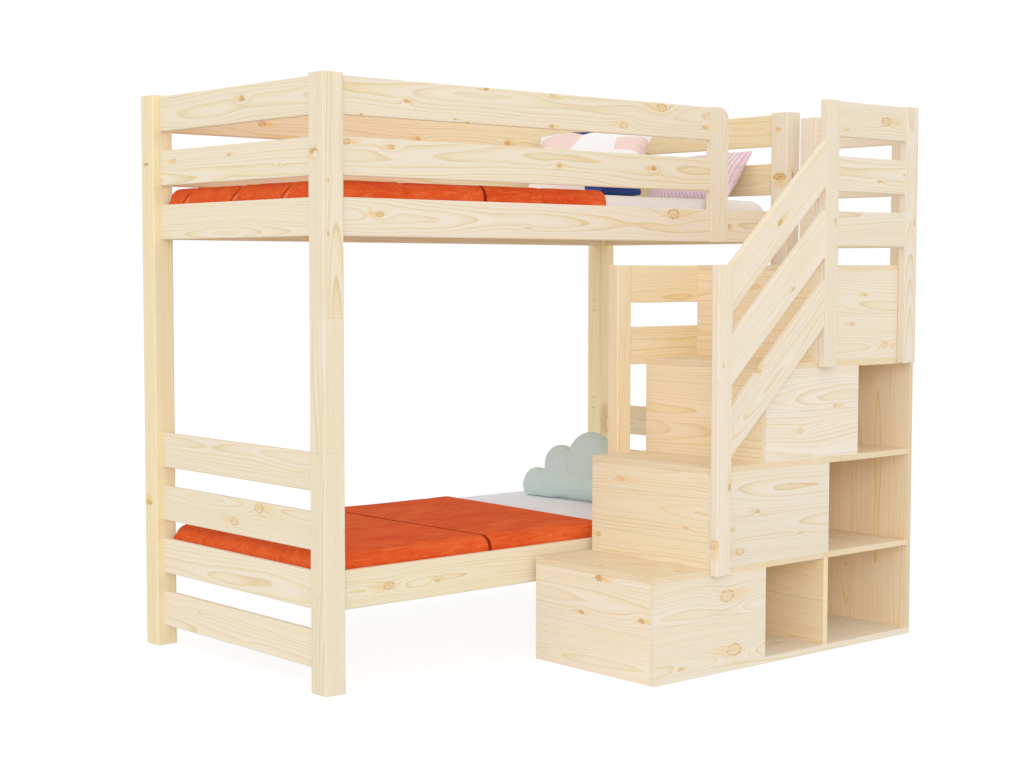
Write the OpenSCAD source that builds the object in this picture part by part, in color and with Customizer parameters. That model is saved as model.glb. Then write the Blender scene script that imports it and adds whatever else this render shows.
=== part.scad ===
// Loft of two stacked single beds in solid pine, with a box staircase that
// stands along the right half of the long side, so the plan forms an L.
// Millimetres, +Z up, X along the beds, -Y is the front with the stairs.

/* [Beds] */
// Outside length of the beds
bed_l = 1980; // [1960:10:2040]
// Outside width of the beds
bed_w = 980; // [960:10:1040]
// Height of the bed posts
bed_h = 1712; // [1700:2:1760]
// Width of a post along the bed
post_x = 70; // [64:2:76]
// Depth of a post across the bed
post_y = 72; // [66:2:78]
// Rounding of a post's upright edges
post_r = 6; // [3:1:10]
// Height of the lower joint in each post
seam_low = 673; // [660:1:700]
// Height of the upper joint in each post
seam_high = 1043; // [1020:1:1070]

/* [Rails] */
// Height of a guard or end rail
rail_h = 107; // [95:1:118]
// Thickness of a rail
rail_t = 20; // [18:1:24]
// Inset of the rails from the outer face of the posts
rail_in = 25; // [20:1:28]
// Step from one rail to the next
rail_pitch = 166; // [155:1:175]
// Top edge of the highest rail of the upper bed
upper_top = 1707; // [1695:1:1712]
// Top edge of the highest end rail of the lower bed
lower_top = 668; // [655:1:672]
// Underside of the lower bed's long side rails
lower_side_z = 229; // [210:1:260]
// Rounding of the rails' long edges
rail_r = 4; // [1:0.5:6]
// Left edge of the board that ends the front guard rails
end_board_x = 1558; // [1500:2:1600]
// Width of that board
end_board_w = 80; // [70:2:90]

/* [Beds' inside] */
// Number of slats in each bed
slat_n = 14; // [10:1:18]
// Width of a slat
slat_w = 70; // [50:2:84]
// Thickness of a slat
slat_t = 12; // [10:1:14]
// Thickness of a mattress
mattress_t = 110; // [80:5:120]
// Top of the slats in the upper bed
upper_deck = 1302; // [1298:1:1312]
// Top of the slats in the lower bed
lower_deck = 258; // [254:1:268]

/* [Staircase] */
// Left face of the first step
stair_x = 774; // [760:1:800]
// Going from one step to the next
going = 233.4; // [225:0.2:236]
// Height of the first step
rise_1 = 309; // [300:1:315]
// Rise of each further step
rise = 294.33; // [290:0.01:296]
// Depth of the staircase from front to back
case_d = 502; // [480:2:520]
// Thickness of the staircase boards
board_t = 18; // [16:1:20]
// Thickness of the board on the floor
base_t = 20; // [18:1:22]
// Right face of the staircase box
case_right = 1952; // [1944:1:1960]
// Right ends of the closed front panels of steps one, two and three
panel_ends = [1247, 1537, 1674];
// Left face of the divider in the lowest shelf
divider_x = 1516; // [1480:1:1560]

/* [Guards on the staircase] */
// Width of a newel or guard post
newel_w = 60; // [50:2:70]
// Thickness of a newel or guard post
newel_t = 28; // [26:1:32]
// Top of the newels at the foot of the handrail
newel_top = 1191; // [1170:1:1200]
// Top of the guard posts on the platform
guard_top = 1690; // [1670:1:1700]
// Left edge of the front newel
newel_x = 1000; // [990:1:1010]
// Height over the floor of the top handrail board's middle, at the newel
handrail_z = 1124; // [1110:1:1135]
// Rise of the handrail for each millimetre along the bed
handrail_slope = 0.8987; // [0.88:0.0001:0.92]
// Upright distance between the handrail boards
handrail_pitch = 211; // [200:1:216]

/* [Bedding] */
// Right end of the covers on the upper bed
upper_cover_end = 1110; // [1000:10:1200]
// Right end of the covers on the lower bed
lower_cover_end = 1130; // [1000:10:1200]
// Thickness of a cover
cover_t = 15; // [10:1:18]
// Side of the square patterned pillow
pillow_side = 440; // [380:10:440]

/* [Hidden] */
$fn = 48;
e = 0.01;
ox = bed_l / 2;
oy = (bed_w - case_d - newel_t) / 2;
case_front = -case_d;
guard_front = -case_d - newel_t;
cd = newel_t / 2 - rail_t / 2;
ry0 = rail_in;                    // outer face of the front rails
ry1 = rail_in + rail_t;           // inner face of the front rails
by1 = bed_w - rail_in;            // outer face of the back rails
by0 = by1 - rail_t;               // inner face of the back rails
lx0 = rail_in;
lx1 = rail_in + rail_t;
rx1 = bed_l - rail_in;
rx0 = rx1 - rail_t;
upper_z = [for (i = [0:2]) upper_top - rail_h - i * rail_pitch];
lower_z = [for (i = [0:3]) lower_top - rail_h - i * rail_pitch];
lower_side_h = 110;
tread_z = [for (i = [0:3]) rise_1 + i * rise];
riser_x = [for (i = [0:3]) stair_x + i * going];
floor_z = [base_t, tread_z[0], tread_z[1], tread_z[2]];
riser_z = [0, tread_z[0], tread_z[1], tread_z[2]];
panel_right = [panel_ends[0], panel_ends[1], panel_ends[2], case_right];
side_x = case_right - board_t;
back_t = 9;
guard_a_x = riser_x[3];
guard_b_x = 1865;
guard_z = [for (i = [0:2]) guard_top - 2 - rail_h - i * rail_pitch];
side_c_w = 70;
side_c_y = -22 - side_c_w;
side_d_y = -403 - newel_w;
guard_z0 = 881;
back_newel_x = 1114;
back_newel_d = 44;
back_newel_z0 = 345;
back_rail_h = 118;
back_rail_z = [newel_top - back_rail_h, newel_top - back_rail_h - 194];
back_rail_end = 1700;
tenon_l = 25;
tenon_t = 12;
tenon_in = 12;
dowel_r = 4;
dowel_l = 40;
pin_r = 6;
pin_l = 100;
bolt_r = 3;
bolt_hole_r = 3.5;
head_r = 6;
bore_r = 7;
bore_d = 20;
nut_r = 5;
nut_l = 15;
nut_in = 40;
bolt_l = post_x - bore_d + nut_in + 8;
post_names = [[0, 0], [1, 0], [0, 1], [1, 1]];

pine = [0.90, 0.79, 0.62];
pine_in = [0.86, 0.70, 0.48];
steel = [0.62, 0.63, 0.65];
plug = [0.88, 0.78, 0.63];
white_cloth = [0.90, 0.89, 0.88];
orange_cloth = [0.86, 0.30, 0.12];

// ---------- helpers ----------

module place() { translate([-ox, -oy, 0]) children(); }

// Rectangle with true arcs at its corners.
module rrect(w, h, r) {
  translate([r, 0]) square([w - 2 * r, h]);
  translate([0, r]) square([w, h - 2 * r]);
  for (x = [r, w - r], y = [r, h - r]) translate([x, y]) circle(r = r);
}

// Boards whose long edges are rounded, lying along X, Y or Z.
module board_x(x0, x1, y0, y1, z0, z1, r) {
  translate([x0, y0, z0]) rotate([90, 0, 90]) linear_extrude(x1 - x0) rrect(y1 - y0, z1 - z0, r);
}
module board_y(x0, x1, y0, y1, z0, z1, r) {
  translate([x0, y1, z0]) rotate([90, 0, 0]) linear_extrude(y1 - y0) rrect(x1 - x0, z1 - z0, r);
}
module board_z(x0, x1, y0, y1, z0, z1, r) {
  translate([x0, y0, z0]) linear_extrude(z1 - z0) rrect(x1 - x0, y1 - y0, r);
}
module block(x0, x1, y0, y1, z0, z1) {
  translate([x0, y0, z0]) cube([x1 - x0, y1 - y0, z1 - z0]);
}
// Block rounded on all twelve edges, with mitred corners.
module soft_block(x0, x1, y0, y1, z0, z1, rp, rs) {
  intersection() {
    board_z(x0, x1, y0, y1, z0, z1, rp);
    board_x(x0 - 1, x1 + 1, y0, y1, z0, z1, rs);
    board_y(x0, x1, y0 - 1, y1 + 1, z0, z1, rs);
  }
}
module rod_x(x, y, z, r, l) { translate([x, y, z]) rotate([0, 90, 0]) cylinder(r = r, h = l, center = true); }
module rod_y(x, y, z, r, l) { translate([x, y, z]) rotate([90, 0, 0]) cylinder(r = r, h = l, center = true); }
module rod_z(x, y, z, r, l) { translate([x, y, z]) cylinder(r = r, h = l, center = true); }

// ---------- where the fasteners sit ----------

// Joints of the long rails with the posts: side (0 left, 1 right), row (0 front, 1 back), height.
up_mid = [for (z = upper_z) z + rail_h / 2];
low_mid = lower_side_z + lower_side_h / 2;
rail_joints = [
  [0, 0, up_mid[0]], [0, 0, up_mid[1]], [0, 0, up_mid[2]], [0, 0, low_mid],
  [1, 0, up_mid[2]], [1, 0, low_mid],
  [0, 1, up_mid[0]], [0, 1, up_mid[1]], [0, 1, up_mid[2]], [0, 1, low_mid],
  [1, 1, up_mid[0]], [1, 1, up_mid[1]], [1, 1, up_mid[2]], [1, 1, low_mid]
];
function joint_y(row) = row == 0 ? (ry0 + ry1) / 2 : (by0 + by1) / 2;
function joint_x(side) = side == 0 ? post_x : bed_l - post_x;
function inward(side) = side == 0 ? 1 : -1;
dowel_off = 32;

module rail_dowels() {
  for (j = rail_joints, s = [-1, 1])
    rod_x(joint_x(j[0]), joint_y(j[1]), j[2] + s * dowel_off, dowel_r, dowel_l);
}
module end_board_dowels() {
  for (i = [0, 1], s = [-1, 1]) rod_x(end_board_x, (ry0 + ry1) / 2, up_mid[i] + s * dowel_off, dowel_r, dowel_l);
}
module front_guard_dowels() {
  for (z = guard_z, x = [guard_a_x + newel_w, guard_b_x], s = [-1, 1])
    rod_x(x, guard_front + newel_t / 2, z + rail_h / 2 + s * dowel_off, dowel_r, dowel_l);
}
module side_guard_dowels() {
  for (z = guard_z, y = [side_d_y + newel_w, side_c_y], s = [-1, 1])
    rod_y(case_right + newel_t / 2, y, z + rail_h / 2 + s * dowel_off, dowel_r, dowel_l);
}
module handrail_dowels() {
  for (i = [0:2], k = [0, 1], s = [-1, 1])
    rod_x(k == 0 ? newel_x + newel_w : guard_a_x, guard_front + newel_t / 2,
      handrail_z - i * handrail_pitch + (k == 0 ? 0 : handrail_slope * (guard_a_x - newel_x - newel_w)) + s * dowel_off,
      dowel_r, dowel_l);
}
module back_guard_dowels() {
  for (z = back_rail_z, s = [-1, 1]) rod_x(back_newel_x + newel_w, rail_t / 2, z + back_rail_h / 2 + s * 36, dowel_r, dowel_l);
}
// Upright dowels between the risers and the boards under and over them.
module case_dowels() {
  for (i = [0:3], y = [-90, -400]) {
    if (i > 0) rod_z(riser_x[i] + board_t / 2, y, floor_z[i] + 5, dowel_r, 30);
    else rod_x(stair_x + board_t + 3, y, base_t / 2, dowel_r, 30);
    rod_z(riser_x[i] + board_t / 2, y, tread_z[i] - board_t - 5, dowel_r, 30);
  }
  for (y = [-90, -400]) {
    rod_z(side_x + board_t / 2, y, base_t + 5, dowel_r, 30);
    rod_z(side_x + board_t / 2, y, tread_z[3] - board_t - 5, dowel_r, 30);
  }
}
// A countersunk screw: point at the origin's far side, driven along +Z from z = 0.
module screw(l) {
  cylinder(r1 = 4.5, r2 = 2.25, h = 2.8);
  cylinder(r = 2.25, h = l);
}
// Screws that hold the newels and guard posts to the staircase box.
module guard_screws() {
  // front newel and platform posts, driven from inside the front panels
  for (z = [360, 540]) translate([newel_x + newel_w / 2 + 8, case_front + board_t, z]) rotate([90, 0, 0]) screw(38);
  for (x = [guard_a_x + newel_w / 2, guard_b_x + newel_w / 2], z = [960, 1120])
    translate([x, case_front + board_t, z]) rotate([90, 0, 0]) screw(38);
  // back newel, driven through the back panel of the second step
  for (z = [420, 540]) translate([back_newel_x + newel_w / 2, -back_t, z]) rotate([-90, 0, 0]) screw(38);
  // side posts, driven through the side panel
  for (y = [side_c_y + side_c_w / 2, side_d_y + newel_w / 2], z = [960, 1120])
    translate([side_x, y, z]) rotate([0, 90, 0]) screw(38);
  // back guard rails, driven through the back panel under the platform
  for (x = [1530, 1660]) translate([x, -back_t, back_rail_z[0] + 60]) rotate([-90, 0, 0]) screw(22);
  for (x = [1530, 1660]) translate([x, -back_t, back_rail_z[1] + 60]) rotate([-90, 0, 0]) screw(22);
}
bracket_z = [930, 1080];
module bracket_screws() {
  for (z = bracket_z) {
    translate([side_x - 13, -back_t - 2.5, z]) rotate([-90, 0, 0]) screw(38);
    for (y = [-27, -42]) translate([side_x - 2.5, y, z]) rotate([0, 90, 0]) screw(16);
  }
}

// ---------- bed posts ----------

module post_blank(side, row, z0, z1, r0, r1) {
  x0 = side == 0 ? 0 : bed_l - post_x;
  y0 = row == 0 ? 0 : bed_w - post_y;
  intersection() {
    board_z(x0, x0 + post_x, y0, y0 + post_y, z0, z1, post_r);
    translate([x0 - 1, y0, z0]) rotate([90, 0, 90]) linear_extrude(post_x + 2) end_profile(post_y, z1 - z0, r0, r1);
    translate([x0, y0 + post_y + 1, z0]) rotate([90, 0, 0]) linear_extrude(post_y + 2) end_profile(post_x, z1 - z0, r0, r1);
  }
}
// Side view of a post segment: arcs r0 at the foot and r1 at the head.
module end_profile(w, h, r0, r1) {
  translate([0, r0]) square([w, h - r0 - r1]);
  translate([r0, 0]) square([w - 2 * r0, h / 2]);
  translate([r1, h / 2]) square([w - 2 * r1, h / 2]);
  for (x = [r0, w - r0]) translate([x, r0]) circle(r = r0);
  for (x = [r1, w - r1]) translate([x, h - r1]) circle(r = r1);
}
module pin_at(side, row, z) {
  rod_z(side == 0 ? post_x / 2 : bed_l - post_x / 2, row == 0 ? post_y / 2 : bed_w - post_y / 2, z, pin_r, pin_l);
}
lock_l = 25;
lock_r = 3;
lock_hole = 3.2;
module lock_at(side, row, z, r, l) {
  // from the post's inner face towards the pin
  x = side == 0 ? post_x - 4 - l / 2 : bed_l - post_x + 4 + l / 2;
  rod_x(x, row == 0 ? post_y / 2 : bed_w - post_y / 2, z, r, l);
}
module lock_bore(side, row, z) {
  l = post_x / 2 - pin_r + 4;
  x = side == 0 ? post_x + 1 - l / 2 : bed_l - post_x - 1 + l / 2;
  rod_x(x, row == 0 ? post_y / 2 : bed_w - post_y / 2, z, lock_hole, l);
}
// Bores for the long rails' bolts and dowels, and mortises for the end rails.
module post_bores(side, row, z0, z1) {
  outer = side == 0 ? 0 : bed_l;
  for (j = rail_joints) if (j[0] == side && j[1] == row && j[2] > z0 && j[2] < z1) {
    y = joint_y(row);
    rod_x(outer + inward(side) * post_x / 2, y, j[2], bolt_hole_r, post_x + 2);
    rod_x(outer + inward(side) * (bore_d / 2 - 1), y, j[2], bore_r, bore_d + 2);
    for (s = [-1, 1]) rod_x(joint_x(side), y, j[2] + s * dowel_off, dowel_r, dowel_l);
  }
  y_in = row == 0 ? post_y - tenon_l : bed_w - post_y - 1;
  xm = side == 0 ? (lx0 + lx1) / 2 : (rx0 + rx1) / 2;
  for (z = concat(upper_z, lower_z)) if (z > z0 && z < z1)
    block(xm - tenon_t / 2, xm + tenon_t / 2, y_in, y_in + tenon_l + 1, z + tenon_in, z + rail_h - tenon_in);
}
module post_segment(side, row, level) {
  z0 = level == 0 ? 0 : (level == 1 ? seam_low : seam_high);
  z1 = level == 0 ? seam_low : (level == 1 ? seam_high : bed_h);
  color(pine) place() difference() {
    post_blank(side, row, z0, z1, level == 0 ? 3 : 0.8, level == 2 ? 4 : 0.8);
    for (z = [seam_low, seam_high]) if (z >= z0 && z <= z1) {
      pin_at(side, row, z);
      for (s = [-1, 1]) lock_bore(side, row, z + s * 19);
    }
    post_bores(side, row, z0, z1);
    if (side == 1 && row == 0 && level > 0) bracket_screws();
  }
}
module post_front_left_lower() { post_segment(0, 0, 0); }
module post_front_left_upper() { post_segment(0, 0, 2); }
module post_front_right_lower() { post_segment(1, 0, 0); }
module post_front_right_upper() { post_segment(1, 0, 2); }
module post_back_left_lower() { post_segment(0, 1, 0); }
module post_back_left_upper() { post_segment(0, 1, 2); }
module post_back_right_lower() { post_segment(1, 1, 0); }
module post_back_right_upper() { post_segment(1, 1, 2); }
module post_middle_sections() { for (p = post_names) post_segment(p[0], p[1], 1); }

module post_pins() {
  color(steel) place() for (p = post_names, z = [seam_low, seam_high]) pin_at(p[0], p[1], z);
}
module post_lock_screws() {
  color(steel) place() for (p = post_names, z = [seam_low, seam_high], s = [-1, 1])
    difference() {
      lock_at(p[0], p[1], z + s * 19, lock_r, lock_l);
      // hexagon socket
      translate([p[0] == 0 ? post_x - 4 : bed_l - post_x + 4, p[1] == 0 ? post_y / 2 : bed_w - post_y / 2, z + s * 19])
        rotate([0, 90, 0]) cylinder(r = 1.7, h = 6, center = true, $fn = 6);
    }
}

// ---------- long rails ----------

// Cut for the bolt, its barrel nut and the two dowels at one end of a long rail.
module long_rail_cuts(side, row, zm) {
  xe = joint_x(side);
  d = inward(side);
  y = joint_y(row);
  rod_x(xe + d * (nut_in + 12) / 2, y, zm, bolt_hole_r, nut_in + 14);
  // blind bore for the barrel nut, open on the bed's inner side
  rod_y(xe + d * nut_in, row == 0 ? ry1 - nut_l / 2 : by0 + nut_l / 2, zm, nut_r, nut_l + 2);
  for (s = [-1, 1]) rod_x(xe, y, zm + s * dowel_off, dowel_r, dowel_l);
}
module upper_front_guard_rails() {
  color(pine) place() for (i = [0, 1]) difference() {
    board_x(post_x, end_board_x, ry0, ry1, upper_z[i], upper_z[i] + rail_h, rail_r);
    long_rail_cuts(0, 0, up_mid[i]);
    end_board_dowels();
  }
}
module upper_front_side_rail() {
  color(pine) place() difference() {
    board_x(post_x, bed_l - post_x, ry0, ry1, upper_z[2], upper_z[2] + rail_h, rail_r);
    for (s = [0, 1]) long_rail_cuts(s, 0, up_mid[2]);
  }
}
module upper_back_guard_rails() {
  color(pine) place() for (i = [0, 1]) difference() {
    board_x(post_x, bed_l - post_x, by0, by1, upper_z[i], upper_z[i] + rail_h, rail_r);
    for (s = [0, 1]) long_rail_cuts(s, 1, up_mid[i]);
  }
}
module upper_back_side_rail() {
  color(pine) place() difference() {
    board_x(post_x, bed_l - post_x, by0, by1, upper_z[2], upper_z[2] + rail_h, rail_r);
    for (s = [0, 1]) long_rail_cuts(s, 1, up_mid[2]);
  }
}
module lower_front_side_rail() {
  color(pine) place() difference() {
    board_x(post_x, bed_l - post_x, ry0, ry1, lower_side_z, lower_side_z + lower_side_h, rail_r);
    for (s = [0, 1]) long_rail_cuts(s, 0, low_mid);
  }
}
module lower_back_side_rail() {
  color(pine) place() difference() {
    board_x(post_x, bed_l - post_x, by0, by1, lower_side_z, lower_side_z + lower_side_h, rail_r);
    for (s = [0, 1]) long_rail_cuts(s, 1, low_mid);
  }
}
module rail_bolts() {
  color(steel) place() for (j = rail_joints) {
    outer = j[0] == 0 ? 0 : bed_l;
    d = inward(j[0]);
    y = joint_y(j[1]);
    difference() {
      union() {
        rod_x(outer + d * (bore_d + bolt_l / 2), y, j[2], bolt_r, bolt_l);
        rod_x(outer + d * (bore_d - 3), y, j[2], head_r, 6);
      }
      translate([outer + d * (bore_d - 6), y, j[2]]) rotate([0, 90, 0]) cylinder(r = 2.3, h = 7, center = true, $fn = 6);
    }
  }
}
module rail_barrel_nuts() {
  color(steel) place() for (j = rail_joints) difference() {
    rod_y(joint_x(j[0]) + inward(j[0]) * nut_in, j[1] == 0 ? ry1 - nut_l / 2 - 1 : by0 + nut_l / 2 + 1, j[2], nut_r - 0.05, nut_l - 2);
    rod_x(joint_x(j[0]) + inward(j[0]) * nut_in, joint_y(j[1]), j[2], bolt_r + 0.05, 2 * nut_r + 2);
  }
}
// Round covers over the bolt heads, on the outer faces of the posts.
module bolt_caps() {
  color(plug) place() for (j = rail_joints) {
    outer = j[0] == 0 ? 0 : bed_l;
    d = inward(j[0]);
    y = joint_y(j[1]);
    rod_x(outer - d * 0.6, y, j[2], 10, 1.2);
    rod_x(outer + d * 3.65, y, j[2], bore_r - 0.1, 8.5);
  }
}

// ---------- end rails, tenoned into the posts ----------

module end_rail(side, z) {
  x0 = side == 0 ? lx0 : rx0;
  board_y(x0, x0 + rail_t, post_y, bed_w - post_y, z, z + rail_h, rail_r);
  xm = x0 + rail_t / 2;
  for (y = [post_y - tenon_l, bed_w - post_y - e])
    block(xm - tenon_t / 2, xm + tenon_t / 2, y, y + tenon_l + e, z + tenon_in, z + rail_h - tenon_in);
}
module upper_left_end_rails() { color(pine) place() for (z = upper_z) end_rail(0, z); }
module upper_right_end_rails() { color(pine) place() for (z = upper_z) end_rail(1, z); }
module lower_left_end_rails() { color(pine) place() for (z = lower_z) end_rail(0, z); }
module lower_right_end_rails() { color(pine) place() for (z = lower_z) end_rail(1, z); }

// Upright board at the open end of the front guard rails. Its lower part is
// rebated so that it laps over the side rail.
module guard_end_board() {
  x0 = end_board_x;
  x1 = end_board_x + end_board_w;
  y0 = ry1 - newel_t;
  z0 = upper_z[2];
  z1 = upper_top + 1;
  rc = 42;
  color(pine) place() difference() {
    intersection() {
      translate([x0, ry1, z0]) rotate([90, 0, 0]) linear_extrude(newel_t) union() {
        translate([0, 0]) square([end_board_w - rc, z1 - z0]);
        translate([0, rc]) square([end_board_w, z1 - z0 - 2 * rc]);
        translate([end_board_w - rc, rc]) circle(r = rc, $fn = 96);
        translate([end_board_w - rc, z1 - z0 - rc]) circle(r = rc, $fn = 96);
      }
      // eased upright edges
      board_z(x0, x1, y0, ry1, z0 - 1, z1 + 1, 3);
    }
    block(x0 - 1, x1 + 1, ry0, ry1 + 1, z0 - 1, upper_z[2] + rail_h);
    end_board_dowels();
  }
}

// ---------- slats ----------

cleat_h = 18;
module slat_cleats() {
  color(pine_in) place() for (d = [upper_deck, lower_deck]) {
    board_x(post_x + 2, bed_l - post_x - 2, ry1, ry1 + 25, d - slat_t - cleat_h, d - slat_t, 2);
    board_x(post_x + 2, bed_l - post_x - 2, by0 - 25, by0, d - slat_t - cleat_h, d - slat_t, 2);
  }
}
slat_first = post_x + 14;
slat_last = bed_l - post_x - 14 - slat_w;
module slats(d) {
  for (i = [0:slat_n - 1]) {
    x = slat_first + i * (slat_last - slat_first) / (slat_n - 1);
    board_y(x, x + slat_w, ry1 + 1, by0 - 1, d - slat_t, d, 2);
  }
}
module bed_slats() { color(pine_in) place() { slats(upper_deck); slats(lower_deck); } }

// ---------- staircase box ----------

br = 1.2;
module stair_base_board() {
  color(pine) place() difference() {
    board_y(stair_x, case_right, case_front, 0, 0, base_t, br);
    // notch for the first riser, which reaches the floor
    block(stair_x - 1, stair_x + board_t, case_front + board_t, 1, -1, base_t + 1);
    case_dowels();
  }
}
module tread(i) {
  color(pine) place() difference() {
    board_y(riser_x[i], side_x, case_front, 0, tread_z[i] - board_t, tread_z[i], br);
    case_dowels();
  }
}
module tread_first() { tread(0); }
module tread_second() { tread(1); }
module tread_third() { tread(2); }
module platform_board() {
  color(pine) place() difference() {
    board_y(riser_x[3], case_right, case_front, 0, tread_z[3] - board_t, tread_z[3], br);
    case_dowels();
  }
}
module riser(i) {
  color(pine) place() difference() {
    board_z(riser_x[i], riser_x[i] + board_t, case_front + board_t, 0, riser_z[i], tread_z[i] - board_t, br);
    case_dowels();
  }
}
module riser_first() { riser(0); }
module riser_second() { riser(1); }
module riser_third() { riser(2); }
module riser_fourth() { riser(3); }
module front_panel(i) {
  color(pine) place() difference() {
    board_z(riser_x[i], panel_right[i], case_front, case_front + board_t, floor_z[i], tread_z[i] - board_t, br);
    guard_screws();
  }
}
module front_panel_first() { front_panel(0); }
module front_panel_second() { front_panel(1); }
module front_panel_third() { front_panel(2); }
module front_panel_fourth() { front_panel(3); }
// Three partitions behind the ends of the closed panels, and the shelf divider.
module stair_partitions() {
  color(pine_in) place() {
    for (i = [0:2])
      board_z(panel_right[i] - board_t, panel_right[i], case_front + board_t, -back_t, floor_z[i], tread_z[i] - board_t, br);
    board_z(divider_x, divider_x + 20, case_front, -back_t, base_t, tread_z[0] - board_t, br);
  }
}
module stair_side_panel() {
  color(pine) place() difference() {
    union() {
      board_z(side_x, case_right, case_front, 0, base_t, tread_z[2], br);
      board_z(side_x, case_right, case_front + board_t, 0, tread_z[2] - 50, tread_z[3] - board_t, br);
    }
    case_dowels();
    guard_screws();
    bracket_screws();
  }
}
module stair_back_panels() {
  color(pine_in) place() difference() {
    for (i = [0:3])
      block(riser_x[i] + board_t, side_x, -back_t, 0, floor_z[i], tread_z[i] - board_t);
    guard_screws();
    bracket_screws();
  }
}

// ---------- newels, handrails and guards ----------

module front_newel() {
  color(pine) place() difference() {
    soft_block(newel_x, newel_x + newel_w, guard_front, case_front, tread_z[0] - board_t, newel_top, 4, 3);
    guard_screws();
    handrail_dowels();
  }
}
module back_newel() {
  color(pine) place() difference() {
    soft_block(back_newel_x, back_newel_x + newel_w, 0, back_newel_d, back_newel_z0, newel_top, 4, 3);
    guard_screws();
    back_guard_dowels();
  }
}
// Three sloping boards from the newel to the first platform post.
module stair_handrails() {
  run = guard_a_x - newel_x - newel_w;
  ang = atan(handrail_slope);
  x0 = newel_x + newel_w;
  color(pine) place() for (i = [0:2]) difference() {
    intersection() {
      translate([x0, guard_front + cd, handrail_z - i * handrail_pitch]) rotate([0, -ang, 0])
        board_x(-150, run / cos(ang) + 150, 0, rail_t, -rail_h / 2, rail_h / 2, rail_r);
      block(x0, guard_a_x, guard_front, case_front, 0, bed_h);
    }
    handrail_dowels();
  }
}
module guard_posts() {
  color(pine) place() difference() {
    union() {
      for (x = [guard_a_x, guard_b_x]) soft_block(x, x + newel_w, guard_front, case_front, guard_z0, guard_top, 4, 3);
      soft_block(case_right, case_right + newel_t, side_c_y, side_c_y + side_c_w, guard_z0, guard_top, 4, 3);
      soft_block(case_right, case_right + newel_t, side_d_y, side_d_y + newel_w, guard_z0, guard_top, 4, 3);
    }
    guard_screws();
    front_guard_dowels();
    side_guard_dowels();
    handrail_dowels();
  }
}
module front_guard_rails() {
  color(pine) place() for (z = guard_z) difference() {
    board_x(guard_a_x + newel_w, guard_b_x, guard_front + cd, guard_front + cd + rail_t, z, z + rail_h, rail_r);
    front_guard_dowels();
  }
}
module side_guard_rails() {
  color(pine) place() for (z = guard_z) difference() {
    board_y(case_right + cd, case_right + cd + rail_t, side_d_y + newel_w, side_c_y, z, z + rail_h, rail_r);
    side_guard_dowels();
  }
}
module back_guard_rails() {
  color(pine) place() for (z = back_rail_z) difference() {
    board_x(back_newel_x + newel_w, back_rail_end, 0, rail_t, z, z + back_rail_h, rail_r);
    back_guard_dowels();
    guard_screws();
  }
}

// ---------- hidden fasteners ----------

module wood_dowels() {
  color(pine_in) place() {
    rail_dowels();
    end_board_dowels();
    front_guard_dowels();
    side_guard_dowels();
    handrail_dowels();
    back_guard_dowels();
    case_dowels();
  }
}
// Steel angles that fix the staircase to the front right bed post.
module stair_brackets() {
  color(steel) place() for (z = bracket_z) difference() {
    union() {
      block(side_x - 40, side_x, -back_t - 2.5, -back_t, z - 15, z + 15);
      block(side_x - 2.5, side_x, -back_t - 50, -back_t, z - 15, z + 15);
    }
    bracket_screws();
  }
}
module wood_screws() { color(steel) place() { guard_screws(); bracket_screws(); } }

// ---------- bedding ----------

mat_x0 = 58;
mat_x1 = 1866;
mat_y0 = 56;
mat_y1 = bed_w - 56;
module mattress(d) {
  soft_block(mat_x0, mat_x1, mat_y0, mat_y1, d + 0.2, d + mattress_t, 60, 26);
}
module upper_mattress() { color(white_cloth) place() mattress(upper_deck); }
module lower_mattress() { color(white_cloth) place() mattress(lower_deck); }

// A padded cover that lies on the mattress and hangs down its long sides.
module cover(x0, x1, d, drop, closed) {
  zt = d + mattress_t;
  difference() {
    soft_block(x0, x1, ry1 + 3, by0 - 3, zt - drop, zt + cover_t, 14, 12);
    block(closed ? mat_x0 - 0.5 : x0 - 1, x1 + 1, mat_y0 - 0.5, mat_y1 + 0.5, zt - drop - 1, zt + 0.3);
    if (closed) for (y = [0, bed_w - post_y - 3]) block(0, post_x + 3, y, y + post_y + 3, zt - drop - 1, zt + cover_t + 1);
  }
}
module upper_covers() {
  color(orange_cloth) place() {
    cover(lx1 + 5, 616, upper_deck, 90, true);
    cover(617, upper_cover_end, upper_deck, 90, false);
  }
}
module lower_covers() {
  color(orange_cloth) place() {
    cover(lx1 + 5, 624, lower_deck, 80, true);
    cover(625, lower_cover_end, lower_deck, 80, false);
  }
}

// A pillow: thin at its corners and seams, crowned in the middle.
module pillow(w, h, t) {
  c = 15;
  hull() {
    for (x = [-1, 1], y = [-1, 1]) translate([x * (w / 2 - c), y * (h / 2 - c), 0]) sphere(r = c, $fn = 16);
    for (k = [0, 1]) translate([0, 0, k * (t - 1) - t / 2]) scale([w / h, 1, 1]) cylinder(r = h * 0.24, h = 1, $fn = 32);
  }
}
// Square patterned pillow, propped across the corner of the upper bed.
module patterned_pillow() {
  color([0.93, 0.84, 0.82]) place() translate([1604, 626, upper_deck + mattress_t + 139])
    rotate([0, 0, -54.4]) rotate([33.9, 0, 0]) rotate([0, 0, 1.8]) pillow(pillow_side, pillow_side, 112);
}
// Oblong ribbed pillow, leaning on the headboard rails.
module ribbed_pillow() {
  color([0.87, 0.74, 0.78]) place() translate([1851, 360, upper_deck + mattress_t + 87.5])
    rotate([0, 0, -90]) rotate([50, 0, 0]) pillow(388, 216, 96);
}
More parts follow.
